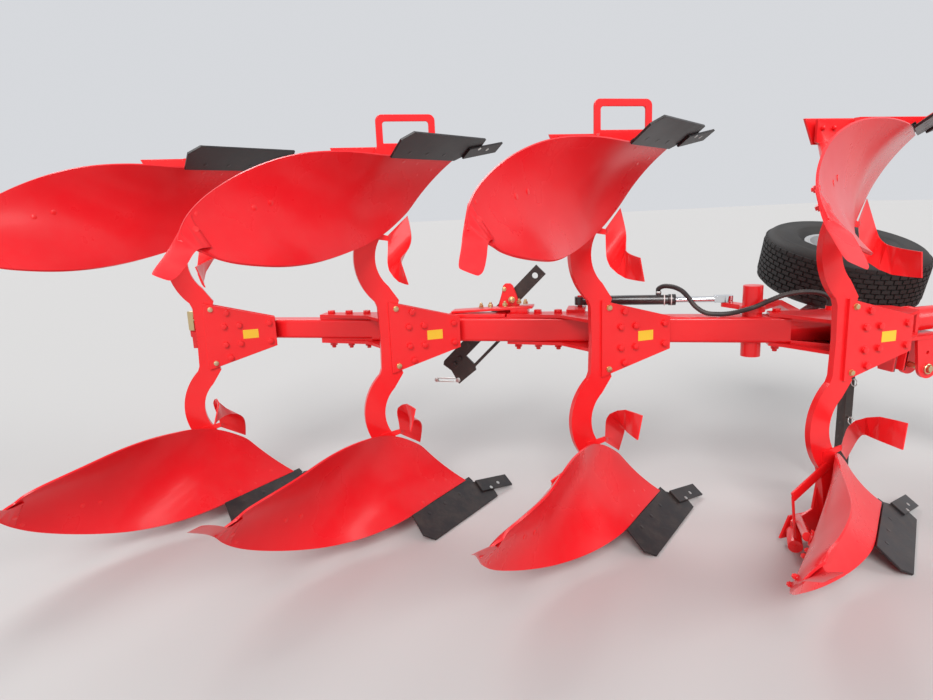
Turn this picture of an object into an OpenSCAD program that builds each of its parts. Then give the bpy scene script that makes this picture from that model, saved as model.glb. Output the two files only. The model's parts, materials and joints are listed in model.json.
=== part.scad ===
// Mounted reversible moldboard plough with four pairs of bodies, parked on its lower bodies.
// Millimetres. +X is the direction of travel, +Y the left-hand side, +Z up.
// The origin is the centre of the upper link's holes, in the headstock's middle plane.

/* [Layout] */
// Spacing of the bodies, along the beam
body_pitch = 1000; // [960:10:1060]
// Angle of the beam to the direction of travel, in degrees
beam_angle = 30; // [29:0.5:31]
// Front body's shear bolts, behind the upper link's holes
front_body_back = 1450; // [1430:10:1560]
// Front body's near cheek, to the right of the turnover axis
front_body_right = 240; // [225:5:250]
// Share edge below the middle of the beam
ground_drop = 923; // [915:1:930]

/* [Beam] */
// Width and height of the main tube
beam_w = 120; // [116:2:126]
// Width and height of the rear tube
tail_w = 100; // [90:5:105]
// Wall of both tubes
beam_wall = 10; // [6:1:12]
// Outer corner radius of both tubes
beam_round = 14; // [13:1:18]

/* [Body bracket] */
// Thickness of each cheek
cheek_t = 12; // [10:1:14]
// Half height of the cheek at the leg
cheek_half = 175; // [165:5:185]
// Half height of the cheek at its front end
cheek_nose = 76; // [72:1:84]
// Front end of the cheek, ahead of the shear bolts
cheek_front = 315; // [300:5:325]
// Rear end of the cheek, behind the shear bolts
cheek_rear = 35; // [30:1:45]
// Thickness of the clasp plates above and below the beam
clasp_t = 15; // [10:1:18]
// Reach of the clasp plates back along the beam
clasp_reach = 350; // [320:5:360]

/* [Leg] */
// Thickness of the leg
leg_t = 30; // [26:1:32]
// Width of the leg along its bow
leg_w = 100; // [90:2:104]
// Radius of the middle of the bow
bow_r = 228; // [220:2:236]

/* [Bottom] */
// Angle of the share edge to the direction of travel, in degrees
share_angle = 39.5; // [39:0.5:40.5]
// Slope of the share, in degrees
share_slope = 34; // [33:0.5:35]
// Thickness of the share
share_t = 10; // [8:1:12]
// Thickness of the moldboard
mold_t = 8; // [6:1:9]
// Outer face of the landside, behind the near cheek
landside_y = 91; // [88:1:98]
// Thickness of the landside
landside_t = 12; // [10:1:14]
// Height of the landside
landside_h = 100; // [90:5:110]
// Underside of the landside above the share edge
landside_lift = 30; // [25:1:35]
// Thickness of the plate that carries the share
carrier_t = 14; // [12:1:16]
// Thickness of the trash board
trash_t = 6; // [5:1:7]

/* [Wheel] */
// Outer diameter of the tyre
tyre_d = 845; // [820:5:850]
// Width of the tyre
tyre_w = 290; // [270:5:295]
// Diameter of the rim over its flanges
rim_d = 430; // [420:2:440]
// Wheel's centre ahead of the front body's shear bolts
wheel_ahead = 780; // [770:5:800]
// Wheel's centre to the left of the front body's near cheek
wheel_left = 870; // [860:5:900]
// Wheel's centre above the middle of the beam
wheel_up = 200; // [195:1:215]
// Lean of the wheel's axis to the right, in degrees
wheel_lean = 15; // [14:0.5:16]
// Width of the wheel arm
arm_w = 80; // [70:2:84]
// Diameter of the arm's post through the beam
post_d = 60; // [50:2:64]
// Post behind the front body's shear bolts, along the beam
post_back = 205; // [200:5:215]

/* [Headstock] */
// Turnover axis below the upper link's holes
axis_drop = 310; // [300:5:320]
// Lower link pins below the turnover axis
link_drop = 300; // [290:5:330]
// Diameter of the turnover shaft
shaft_d = 114; // [108:2:118]
// Distance between the shoulders of the lower link pins
link_span = 825; // [815:5:835]
// Diameter of the lower link pins
link_pin_d = 28; // [27.6:0.1:28.4]
// Length of each lower link pin
link_pin_l = 75; // [65:5:90]
// Diameter of the upper link's holes
top_hole_d = 25.7; // [25.2:0.1:26.4]
// Gap between the upper link's ears
top_gap = 56; // [52:1:60]
// Thickness of each ear
top_ear_t = 15; // [12:1:20]
// Throw of the turnover crank
crank_r = 120; // [110:2:124]
// Turnover ram's upper pin above the turnover axis
ram_up = 430; // [420:5:435]

/* [Parking stand] */
// Width of the stand's square leg
stand_w = 50; // [45:5:60]

/* [Fits] */
// Gap between faces that rest on each other
seat = 0.3; // [0.2:0.1:0.5]
// Radial clearance of a turning pin
run_fit = 0.05; // [0.03:0.01:0.09]

/* [Hidden] */
$fn = 48;

beam_z = -axis_drop;
bracket_w = 2 * cheek_t + leg_t + 2 * seat;
leg_y = cheek_t + seat;
clasp_z = beam_w / 2 + seat;
beam_back = beam_w / 2 / cos(beam_angle) + cheek_front * tan(beam_angle) + bracket_w + 2;

// Place of body k, front to rear, in the middle plane of the beam
function body_at(k) = [
    -front_body_back - (k - 1) * body_pitch * cos(beam_angle),
    -front_body_right + (k - 1) * body_pitch * sin(beam_angle),
    beam_z
];
// A point u forward along the beam and v across it to the left, from a body's place
function on_beam(u, v) = [
    u * cos(beam_angle) + v * sin(beam_angle),
    beam_back - u * sin(beam_angle) + v * cos(beam_angle)
];
function mix(a, b, t) = a + (b - a) * t;

module at_body(k) {
    translate(body_at(k)) children();
}

// Beam frame of body k: x forward along the beam, y across it to the left
module at_beam(k) {
    translate(body_at(k) + [0, beam_back, 0]) rotate([0, 0, -beam_angle]) children();
}

// Both halves of a body pair: the lower one as drawn, and its mirror image above
module both_ways() {
    children();
    mirror([0, 0, 1]) children();
}

// Extrudes an outline drawn in x and z, from y up to y + t
module upright(y, t) {
    translate([0, y + t, 0]) rotate([90, 0, 0]) linear_extrude(t) children();
}

// Extrudes an outline drawn in y and z, from x up to x + t
module crosswise(x, t) {
    translate([x, 0, 0]) rotate([90, 0, 90]) linear_extrude(t) children();
}

// Round bar between two points
module bar(a, b, d) {
    n = b - a;
    translate(a) rotate([0, acos(n.z / norm(n)), atan2(n.y, n.x)]) cylinder(d = d, h = norm(n));
}

// Upright plate on the line from a to b, t thick to its right
module wall(a, b, t, low, high) {
    translate([a.x, a.y, low]) rotate(atan2(b.y - a.y, b.x - a.x)) translate([0, -t, 0])
        cube([norm(b - a), t, high - low]);
}

module round_square(w, r) {
    square([w, w - 2 * r], center = true);
    square([w - 2 * r, w], center = true);
    for (x = [-1, 1], y = [-1, 1]) translate([x * (w / 2 - r), y * (w / 2 - r)]) circle(r);
}

module tube(w, length) {
    rotate([90, 0, 90]) linear_extrude(length) difference() {
        round_square(w, beam_round);
        round_square(w - 2 * beam_wall, beam_round - beam_wall);
    }
}

// Beam
main_front = -46;
main_rear = -2 * body_pitch - 60;
tail_reach = 115;
tail_rear = -3 * body_pitch - tail_reach - 15;
bush_t = 12;

module main_beam() {
    color("red") at_beam(1) difference() {
        union() {
            translate([main_rear, 0, 0]) tube(beam_w, main_front - main_rear);
            translate([-post_back, 0, 0])
                cylinder(d = post_d + 2 * bush_t, h = beam_w - beam_wall, center = true);
        }
        translate([-post_back, 0, 0]) cylinder(r = post_d / 2 + run_fit, h = 2 * beam_w, center = true);
    }
}

module rear_beam() {
    color("red") at_beam(1) translate([tail_rear, 0, 0]) tube(tail_w, main_rear - tail_rear - seat);
}

// Body bracket: two cheeks with the leg between them, and a clasp plate above and below the beam
module cheek_outline() {
    polygon([
        [-cheek_rear, -cheek_half], [cheek_front, -cheek_nose],
        [cheek_front, cheek_nose], [-cheek_rear, cheek_half]
    ]);
}

module clasp_outline(reach) {
    near = -beam_w / 2 - 8;
    polygon([
        [-cheek_rear, bracket_w], on_beam(-80, near), on_beam(-reach, -40),
        on_beam(-reach, 40), on_beam(120, 50), on_beam(330, 0), [cheek_front, bracket_w]
    ]);
}

ram_base = [-post_back - 795, 105, 120];
ram_seat_t = 15;
ram_pin_d = 25;
front_reach = 135;

module bracket(k) {
    tube_w = k == 4 ? tail_w : beam_w;
    low = tube_w / 2 + seat;
    color("red") {
        at_body(k) {
            for (y = [0, bracket_w - cheek_t]) upright(y, cheek_t) cheek_outline();
            for (z = [low, -low - clasp_t]) translate([0, 0, z]) linear_extrude(clasp_t)
                clasp_outline(k == 1 ? front_reach : k == 4 ? tail_reach : clasp_reach);
        }
        if (k == 3) at_beam(k) for (z = [tail_w / 2 + seat, -beam_w / 2 - 1]) {
            translate([-clasp_reach, -40, z]) cube([clasp_reach - 62, 80, (beam_w - tail_w) / 2 + 1 - seat]);
        }
        if (k == 2) at_beam(k) {
            translate([-60, 0, clasp_z + clasp_t - 1]) cube([90, 135, ram_seat_t + 1]);
            translate([body_pitch + ram_base.x, ram_base.y, clasp_z + clasp_t])
                cylinder(d = ram_pin_d, h = ram_base.z - clasp_z - clasp_t + 26);
        }
    }
}

// Leg: a flat plate that bows back from the bracket, with its foot behind the share
bow_c = [96, -380];

module leg_outline() {
    outer = bow_r + leg_w / 2;
    inner = bow_r - leg_w / 2;
    sole = 33 - ground_drop;
    polygon([
        [-80, -3], [190, -3], [150, -110], [11, -150], [20, -180],
        bow_c + inner * [cos(134), sin(134)], bow_c + (outer - 1) * [cos(134), sin(134)], [-85, -150]
    ]);
    intersection() {
        translate(bow_c) difference() {
            circle(outer);
            circle(inner);
        }
        polygon([bow_c, bow_c + 600 * [cos(133.8), sin(133.8)], [-700, -380],
            bow_c + 600 * [cos(220.2), sin(220.2)]]);
    }
    polygon([
        bow_c + inner * [cos(220), sin(220)], [-19, -560], [-3, -620], [40, sole + 210], [93, sole + 150],
        [178, sole + 90], [228, sole + 54], [262, sole + 38], [335, sole + 12], [335, sole], [-40, sole],
        [-80, sole + 130], [-98, -640],
        bow_c + (outer - 1) * [cos(220), sin(220)]
    ]);
}

module legs(k) {
    color("red") at_body(k) both_ways() {
        upright(leg_y, leg_t) leg_outline();
        share_plane() translate([0, 0, -carrier_t - seat]) linear_extrude(carrier_t)
            polygon([[150, 40], [470, 40], [430, 130], [150, 130]]);
    }
}

// Frame along the share edge: x along the edge, y level and square to it, z up from the edge
edge_at = [61, -316];

module at_share() {
    translate([edge_at.x, edge_at.y, -ground_drop]) rotate(share_angle) children();
}

module share_plane() {
    at_share() rotate([share_slope, 0, 0]) children();
}

// The same point in the body's own frame
function from_share(p) = [
    edge_at.x + p.x * cos(share_angle) - p.y * sin(share_angle),
    edge_at.y + p.x * sin(share_angle) + p.y * cos(share_angle),
    p.z - ground_drop
];

share_len = 560;
share_rise = 165;
point_l = 230;
point_w = 74;

module share() {
    share_plane() {
        linear_extrude(share_t)
            polygon([
                [0, 0], [share_len, 0], [share_len + 25, 60], [478, share_rise],
                [0, share_rise], [-40, 52]
            ]);
        translate([share_len + 150, 2, share_t + seat]) rotate(-16) translate([-point_l, 0, 0])
            cube([point_l, point_w, share_t]);
    }
}

module shares(k) {
    color("#1c1a1c") at_body(k) both_ways() share();
}

// Moldboard: sections from the shin to the wing end. Each row gives a section's bottom point as its
// place along the share edge, back from it and up, then its top point, and how deep it is hollowed.
mold_table = [
    [474, 139, 99, 292, 282, 330, 14],
    [330, 139, 98, 160, 301, 413, 34],
    [150, 139, 97, 20, 303, 462, 56],
    [-30, 143, 90, -130, 282, 488, 68],
    [-220, 198, 76, -290, 255, 505, 72],
    [-420, 275, 90, -460, 220, 510, 64],
    [-620, 326, 152, -630, 190, 500, 48],
    [-800, 335, 240, -790, 205, 474, 28],
    [-905, 318, 318, -860, 232, 448, 12],
    [-960, 286, 378, -895, 232, 430, 4]
];
mold_cols = 20;
mold_rows = 8;

// Smooth value of one column of a table at t, counted in rows
function table_at(table, t, c) = let (
    i = min(floor(t), len(table) - 2),
    f = t - i,
    a = table[max(i - 1, 0)][c],
    b = table[i][c],
    d = table[i + 1][c],
    e = table[min(i + 2, len(table) - 1)][c]
) b + f * ((d - a) + f * ((2 * a - 5 * b + 4 * d - e) + f * (3 * (b - d) + e - a))) / 2;

// Point at section t and height v, from 0 to 1, a given depth behind the moldboard's face
function mold_point(t, v, depth) = let (
    low = [table_at(mold_table, t, 1), table_at(mold_table, t, 2)],
    high = [table_at(mold_table, t, 4), table_at(mold_table, t, 5)],
    sag = table_at(mold_table, t, 6),
    chord = norm(high - low),
    up = (high - low) / chord,
    back = [up.y, -up.x],
    r = (chord * chord / 4 + sag * sag) / 2 / sag,
    half = asin(min(1, chord / 2 / r)),
    a = mix(-half, half, v),
    p = (low + high) / 2 + up * (r + depth) * sin(a) + back * ((r + depth) * cos(a) - r + sag)
) [mix(table_at(mold_table, t, 0), table_at(mold_table, t, 3), v), p.x, p.y];

// Plate between two grids of points, one for each face
module grid_plate(front, back) {
    cols = len(front);
    rows = len(front[0]);
    half = cols * rows;
    points = concat([for (col = front) each col], [for (col = back) each col]);
    faces = concat(
        [for (i = [0:cols - 2], j = [0:rows - 2]) let (a = i * rows + j)
            each [[a, a + 1, a + rows + 1], [a, a + rows + 1, a + rows]]],
        [for (i = [0:cols - 2], j = [0:rows - 2]) let (a = half + i * rows + j)
            each [[a, a + rows + 1, a + 1], [a, a + rows, a + rows + 1]]],
        [for (i = [0:cols - 2]) let (a = i * rows)
            each [[a, a + rows, a + rows + half], [a, a + rows + half, a + half]]],
        [for (i = [0:cols - 2]) let (a = i * rows + rows - 1)
            each [[a, a + half, a + rows + half], [a, a + rows + half, a + rows]]],
        [for (j = [0:rows - 2]) each [[j, j + half, j + 1 + half], [j, j + 1 + half, j + 1]]],
        [for (j = [0:rows - 2]) let (a = (cols - 1) * rows + j)
            each [[a, a + 1, a + 1 + half], [a, a + 1 + half, a + half]]]
    );
    polyhedron(points, faces, convexity = 6);
}

module moldboard() {
    span = len(mold_table) - 1;
    grid = [for (depth = [0, mold_t]) [for (i = [0:mold_cols - 1]) [for (j = [0:mold_rows - 1])
        mold_point(span * i / (mold_cols - 1), j / (mold_rows - 1), depth)]]];
    at_share() grid_plate(grid[0], grid[1]);
}

// Tailpiece: a strip that carries on from the wing's end. Each row gives its lower edge's place
// along the share edge, back and up, then its upper edge's.
tail_table = [
    [-880, 327, 300, -850, 258, 415],
    [-966, 292, 384, -930, 232, 418],
    [-1030, 258, 430, -995, 200, 460],
    [-1090, 228, 468, -1055, 176, 495],
    [-1112, 212, 484, -1084, 178, 504]
];
tail_t = 8;

module tailpiece() {
    span = len(tail_table) - 1;
    grid = [for (depth = [0, tail_t]) [for (i = [0:11]) [for (v = [0:1])
        let (p = [for (c = [0:5]) table_at(tail_table, span * i / 11, c)])
        [p[3 * v], p[3 * v + 1] + depth, p[3 * v + 2] - depth * i / 22]]]];
    at_share() grid_plate(grid[0], grid[1]);
}

module moldboards(k) {
    color("red") at_body(k) both_ways() {
        moldboard();
        tailpiece();
    }
}

// Frog: cheek on the leg's far side, spacers for the landside and a stay to the moldboard's wing
frog_y = leg_y + leg_t + seat;
frog_t = 13;
stay_d = 34;

module frog() {
    upright(frog_y, frog_t) polygon([
        [-90, -610], [-30, -600], [60, -690], [150, -780], [215, -838], [300, -880], [300, -885],
        [-215, -885], [-215, -800], [-110, -760]
    ]);
    for (x = [-170, 120]) upright(frog_y + frog_t - 1, landside_y - landside_t - frog_y - frog_t + 1 - seat)
        translate([x, -878]) square([70, 66]);
    a = [-180, frog_y + frog_t / 2, -790];
    bar(a, from_share(mold_point(5.1, 0.45, mold_t + 18)), stay_d);
}

module frogs(k) {
    color("#c8202a") at_body(k) both_ways() frog();
}

// Landside
landside_back = -244;
landside_front = 300;

module landside() {
    low = -ground_drop + landside_lift;
    upright(landside_y - landside_t, landside_t) polygon([
        [landside_back, low], [landside_front, low], [landside_front - 60, low + landside_h],
        [landside_back + 45, low + landside_h]
    ]);
}

module landsides(k) {
    color("red") at_body(k) both_ways() landside();
}

// Trash board: a flange on the leg's near side and a strip that rises over the moldboard's edge
// and twists outwards. Each row gives its front edge in the body's frame, then its rear edge.
trash_table = [
    [100, 84, -574, -16, 8, -488],
    [104, 40, -470, -22, -8, -425],
    [62, -30, -415, -36, -50, -345],
    [5, -140, -392, -15, -150, -290],
    [-25, -290, -382, 5, -275, -283]
];

module trash_board() {
    span = len(trash_table) - 1;
    grid = [for (depth = [0, trash_t]) [for (i = [0:9]) [for (v = [0:1])
        let (p = [for (c = [0:5]) table_at(trash_table, span * i / 9, c)], turn = 68 - 68 * i / 9)
        [p[3 * v] + depth * cos(turn), p[3 * v + 1] + depth * sin(turn),
            p[3 * v + 2] + depth * 0.3 * sin(turn)]]]];
    grid_plate(grid[0], grid[1]);
    upright(leg_y - seat - trash_t, trash_t)
        polygon([[-110, -480], [-12, -462], [-12, -486], [-46, -496], [-50, -560], [-104, -560]]);
}

module trash_boards(k) {
    color("red") at_body(k) both_ways() trash_board();
}

// Lifting loops on the landsides of two upper bodies
loop_l = 285;
loop_h = 210;
loop_bar = 32;
loop_r = 30;
loop_t = 12;

module loop_outline(x, z, l, h, r) {
    translate([x + r, z]) square([l - 2 * r, h]);
    translate([x, z]) square([l, h - r]);
    for (s = [x + r, x + l - r]) translate([s, z + h - r]) circle(r);
}

module lifting_loop() {
    upright(landside_y + seat, loop_t) difference() {
        loop_outline(-25, ground_drop - 93, loop_l, loop_h, loop_r);
        loop_outline(-25 + loop_bar, ground_drop - 93 + 80, loop_l - 2 * loop_bar,
            loop_h - 80 - loop_bar, 14);
    }
}

module lifting_loops() {
    color("red") for (k = [2, 3]) at_body(k) lifting_loop();
}

// Front head: a box that joins the beam and the front bracket to the turnover shaft, with the
// parking stand's sleeve and the lugs below
head_front = 543;
head_plate = 16;
stand_at = [418, 420];
stand_wall = 10;
// Slot for the stand's ring pins
slot_w = 44;
slot_deep = 28;
port_at = [150, 120];
port_top = 25;
lug_at = [635, -215];
lug_r = 62;

module front_head() {
    top = beam_w / 2;
    beam_near = on_beam(main_front + seat, -60);
    beam_far = on_beam(main_front + seat, 60);
    shaft_y = front_body_right;
    sleeve = stand_w + 1 + 2 * stand_wall;
    stand_near = stand_at.y - sleeve / 2 + 5;
    port = on_beam(port_at.x, port_at.y);
    head_side = (beam_back - top * cos(beam_angle) - bracket_w - seat - head_plate / 2) / sin(beam_angle);
    color("red") at_body(1) {
        for (z = [-top, top - head_plate]) translate([0, 0, z]) linear_extrude(head_plate) polygon([
            beam_near, [60, bracket_w + seat], [310, bracket_w + seat], [head_front, shaft_y - 75],
            [head_front, shaft_y + 75], [stand_at.x + 40, stand_near],
            [stand_at.x + slot_w / 2, stand_near], [stand_at.x + slot_w / 2, stand_near - slot_deep],
            [stand_at.x - slot_w / 2, stand_near - slot_deep], [stand_at.x - slot_w / 2, stand_near],
            [stand_at.x - 40, stand_near], [150, 400], beam_far
        ]);
        wall(on_beam(main_front + seat + 1, -58), on_beam(main_front + seat + 1, 58), head_plate,
            1 - top, top - 1);
        wall(on_beam(main_front + seat, beam_wall - top), on_beam(head_side, beam_wall - top), beam_wall,
            1 - top, top - 1);
        translate([60, bracket_w + seat, -top]) cube([250, head_plate, 2 * top]);
        translate([head_front - head_plate, shaft_y - 75, -top]) cube([head_plate, 150, 2 * top]);
        difference() {
            translate([stand_at.x - sleeve / 2, stand_at.y - sleeve / 2, -260]) cube([sleeve, sleeve, 330]);
            translate([stand_at.x, stand_at.y, 0]) cube([stand_w + 1, stand_w + 1, 900], center = true);
            translate([stand_at.x - slot_w / 2, stand_at.y - sleeve, -300]) cube([slot_w, sleeve, 400]);
        }
        translate([350, shaft_y - 75, -top - 24]) cube([360, 150, 17]);
        translate([350, shaft_y - 75, -top - 8]) cube([head_front - 351, 150, 9]);
        for (x = [440, 503]) crosswise(x, 15) polygon([
            [shaft_y - 70, -top - 10], [shaft_y + 60, -top - 10], [shaft_y + 30, -230], [shaft_y - 50, -230]
        ]);
        for (y = [shaft_y - 70, shaft_y + 30]) upright(y, 16) difference() {
            union() {
                polygon([[552, -top - 10], [710, -top - 10], [697, -215], [573, -215]]);
                translate(lug_at) circle(lug_r);
            }
            translate(lug_at + [0, -14]) circle(16);
            translate(lug_at + [-12, 64]) circle(9);
        }
        translate([port.x, port.y, top - 1]) cylinder(d = 30, h = port_top + 1);
    }
}

// Turnover shaft with its crank
housing_rear = -600;
housing_front = -262;
crank_rear = housing_front + 6;
crank_t = 20;
crank_front = crank_rear + crank_t;

module turnover_shaft() {
    rear = -front_body_back + head_front + seat;
    color("red") translate([0, 0, beam_z]) {
        crosswise(rear, crank_rear + 1 - rear) circle(d = shaft_d);
        crosswise(rear, 27) circle(d = shaft_d + 16);
        crosswise(crank_rear, crank_t) {
            circle(d = shaft_d + 30);
            translate([crank_r, 0]) circle(d = 84);
            polygon([[0, -70], [crank_r, -42], [crank_r, 42], [0, 70]]);
        }
    }
}

// Headstock: a rear and a front plate, with the shaft's housing, the upper link's ears and the
// cross beam for the lower links
front_plate = [-140, 20];

module headstock() {
    plate = 18;
    up = ram_up - axis_drop;
    low = beam_z - link_drop;
    color("red") {
        difference() {
            union() {
                crosswise(housing_rear, housing_front - housing_rear) translate([0, beam_z])
                    circle(d = shaft_d + 56);
                crosswise(housing_front - plate, plate) polygon([
                    [-190, low - 50], [190, low - 50], [190, low + 60], [130, beam_z], [62, up + 45],
                    [-62, up + 45], [-130, beam_z], [-190, low + 60]
                ]);
                for (s = [-1, 1]) upright(s * 20 - 8, 16) polygon([
                    [housing_front, beam_z + 60], [housing_rear + 90, beam_z + 60],
                    [housing_front, beam_z + 260]
                ]);
            }
            crosswise(housing_rear - 1, 2 - housing_rear) translate([0, beam_z])
                circle(r = shaft_d / 2 + run_fit);
        }
        crosswise(front_plate.x, front_plate.y) difference() {
            polygon([
                [-190, low - 50], [190, low - 50], [190, low + 60], [75, up + 45], [-75, up + 45],
                [-190, low + 60]
            ]);
            polygon([[-120, low + 90], [120, low + 90], [42, -70], [-42, -70]]);
        }
        translate([0, 0, up]) crosswise(housing_front - 1, front_plate.x - housing_front + 2) circle(d = 36);
        for (s = [-1, 1]) {
            upright(s * (top_gap + top_ear_t) / 2 - top_ear_t / 2, top_ear_t) difference() {
                union() {
                    polygon([
                        [front_plate.x + front_plate.y - 1, -60], [10, -38], [10, 38],
                        [front_plate.x + front_plate.y - 1, 110]
                    ]);
                    circle(38);
                }
                circle(d = top_hole_d);
            }
            for (y = [160, 310]) upright(s * y - 10, 20) difference() {
                rear = y == 160 ? housing_front - 1 : -130;
                polygon([
                    [rear, y == 160 ? low + 225 : low + 50], [-130, low + 60], [0, low + 45],
                    [45, low + 20], [45, low - 20], [0, low - 45], [-130, low - 50], [rear, low - 50]
                ]);
                translate([0, low]) circle(r = 25 + seat);
            }
        }
        translate([-140, -315, low - 50]) cube([90, 630, 100]);
    }
}

module link_pins() {
    color("silver") translate([0, 0, beam_z - link_drop]) rotate([90, 0, 0]) {
        cylinder(d = 50, h = link_span, center = true);
        cylinder(d = link_pin_d, h = link_span + 2 * link_pin_l, center = true);
    }
}

// Turnover ram, in a frame at its upper pin with z down towards the crank's pin
ram_x = -190;
ram_length = norm([crank_r, ram_up]);
ram_angle = atan2(crank_r, ram_up);
barrel_l = 265;
rod_in = 205;
eye_d = 72;

module at_ram() {
    translate([ram_x, 0, beam_z + ram_up]) rotate([180 + ram_angle, 0, 0]) children();
}

module turnover_barrel() {
    color("#222222") at_ram() difference() {
        union() {
            rotate([0, 90, 0]) cylinder(d = eye_d, h = 70, center = true);
            translate([0, 0, 30]) cylinder(d = 80, h = barrel_l - 30);
        }
        rotate([0, 90, 0]) cylinder(r = 18 + run_fit, h = 200, center = true);
        translate([0, 0, 60]) cylinder(r = 25 + run_fit, h = barrel_l);
    }
}

module turnover_rod() {
    color("silver") at_ram() {
        translate([0, 0, rod_in]) cylinder(r = 25, h = ram_length - rod_in);
        translate([0, 0, ram_length]) rotate([0, 90, 0]) {
            cylinder(d = eye_d, h = 44, center = true);
            translate([0, 0, crank_front + seat - ram_x]) cylinder(d = 40, h = -crank_front - seat + ram_x);
        }
    }
}

// Wheel
module at_wheel() {
    translate(body_at(1) + [wheel_ahead, wheel_left, wheel_up]) rotate([wheel_lean, 0, 0]) children();
}

bead_w = 200;
shoulder_r = 55;
axle_d = 50;

module tyre() {
    wide = tyre_d / 2 - rim_d / 2 - 20;
    color("#1b1b1b") at_wheel() rotate_extrude($fn = 96) {
        translate([rim_d / 2 - 20, -bead_w / 2]) square([80, bead_w]);
        translate([tyre_d / 2 - wide + shoulder_r, -tyre_w / 2]) square([wide - 2 * shoulder_r, tyre_w]);
        translate([tyre_d / 2 - wide, shoulder_r - tyre_w / 2]) square([wide, tyre_w - 2 * shoulder_r]);
        for (x = [tyre_d / 2 - wide + shoulder_r, tyre_d / 2 - shoulder_r], s = [-1, 1])
            translate([x, s * (tyre_w / 2 - shoulder_r)]) circle(shoulder_r);
    }
}

module wheel_hub() {
    inner = rim_d / 2 - 20 - seat;
    color("#9a9a9a") at_wheel() rotate_extrude($fn = 96) {
        translate([inner - 8, -bead_w / 2 - 14]) square([8, bead_w + 28]);
        for (s = [-1, 1]) translate([inner - 1, s * (bead_w / 2 + seat + 6) - 6]) square([21, 12]);
        translate([50, -30]) square([inner - 54, 10]);
        translate([axle_d / 2 + run_fit, -70]) square([35, 120]);
    }
}

// Wheel arm: post through the beam, lever for the ram, cranked arm and stub axle
arm_end = [wheel_ahead, wheel_left, wheel_up] + 160 * [0, sin(wheel_lean), -cos(wheel_lean)];
post_at = on_beam(-post_back, 0);
arm_run = norm([arm_end.x - post_at.x, arm_end.y - post_at.y]);
arm_turn = atan2(arm_end.y - post_at.y, arm_end.x - post_at.x);
arm_low = 82;
arm_high = 104;
lever_top = 106;
lever_tip = [-95, 120];
cap_d = 88;

module wheel_arm() {
    color("red") {
        at_body(1) translate([post_at.x, post_at.y, 0]) {
            translate([0, 0, -130]) cylinder(d = post_d, h = 280);
            translate([0, 0, -130]) cylinder(d = cap_d, h = 130 - beam_w / 2 - seat);
            translate([0, 0, beam_w / 2 + seat]) cylinder(d = cap_d, h = 200 - beam_w / 2 - seat);
            translate([0, 0, arm_low - 2]) cylinder(d = cap_d + 24, h = lever_top - arm_low + 2);
            rotate(arm_turn) upright(-arm_w / 2, arm_w) polygon([
                [0, arm_low], [0, arm_high], [240, arm_high], [620, -20], [arm_run + 50, arm_end.z - 4],
                [arm_run + 50, arm_end.z - 44], [620, -60], [225, arm_low]
            ]);
            rotate(-beam_angle) translate([0, 0, arm_low + 2]) linear_extrude(lever_top - arm_low - 2) {
                translate(lever_tip) circle(28);
                rotate(atan2(lever_tip.y, lever_tip.x)) translate([0, -27]) square([norm(lever_tip), 54]);
            }
        }
        at_wheel() {
            translate([0, 0, -180]) cylinder(d = 104, h = 28);
            translate([0, 0, -180]) cylinder(d = axle_d, h = 225);
        }
    }
}

// Wheel ram, from its seat on the second body's bracket to the lever's tip
tip_at = [-post_back + lever_tip.x, lever_tip.y];
wheel_ram_l = norm([tip_at.x - ram_base.x, tip_at.y - ram_base.y]);
wheel_ram_turn = atan2(tip_at.y - ram_base.y, tip_at.x - ram_base.x);

module at_wheel_ram() {
    at_beam(1) translate(ram_base) rotate(wheel_ram_turn) children();
}

module wheel_barrel() {
    color("#222222") at_wheel_ram() difference() {
        union() {
            cylinder(d = 54, h = 40, center = true);
            translate([15, 0, 0]) rotate([0, 90, 0]) cylinder(d = 48, h = 440);
            translate([380, 0, 0]) cylinder(d = 26, h = 34);
        }
        cylinder(r = ram_pin_d / 2 + run_fit, h = 60, center = true);
        translate([60, 0, 0]) rotate([0, 90, 0]) cylinder(r = 14 + run_fit, h = 500);
    }
}

module wheel_rod() {
    rise = lever_top + seat - ram_base.z;
    color("silver") at_wheel_ram() {
        translate([125, 0, 0]) rotate([0, 90, 0]) cylinder(r = 14, h = wheel_ram_l - 125);
        translate([wheel_ram_l, 0, rise]) cylinder(d = 54, h = 32);
        translate([wheel_ram_l - 60, -22, rise]) cube([60, 44, 32]);
    }
}

// Hose from the wheel ram's port to the head's port, by points in the beam's frame
hose_d = 24;
hose_path = [
    [-620, 114, 158], [-620, 114, 174], [-594, 103, 188], [-552, 70, 187], [-516, 34, 173],
    [-490, 1, 147], [-458, -27, 107], [-415, -41, 80], [-365, -45, 74], [-310, -52, 78],
    [-255, -69, 94], [-200, -76, 114], [-135, -52, 139], [-60, 8, 155], [30, 70, 158],
    [110, 110, 145], [148, 120, 120], [150, 120, 86]
];
hose_rings = 51;

function hose_at(t) = [for (c = [0:2]) table_at(hose_path, t * (len(hose_path) - 1), c)];

module wheel_hose() {
    step = 1 / hose_rings;
    points = [for (i = [0:hose_rings], s = [0:9]) let (
        t = i * step,
        way = hose_at(min(1, t + step / 2)) - hose_at(max(0, t - step / 2)),
        ahead = way / norm(way),
        side = cross(ahead, [0.3, 1, 0.1]),
        across = side / norm(side),
        over = cross(across, ahead)
    ) hose_at(t) + hose_d / 2 * (cos(36 * s) * across + sin(36 * s) * over)];
    faces = concat(
        [[for (s = [9:-1:0]) s], [for (s = [0:9]) hose_rings * 10 + s]],
        [for (i = [0:hose_rings - 1], s = [0:9]) let (a = i * 10, n = (s + 1) % 10)
            [a + s, a + n, a + 10 + n, a + 10 + s]]
    );
    color("#161616") at_beam(1) polyhedron(points, faces, convexity = 6);
}

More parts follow.
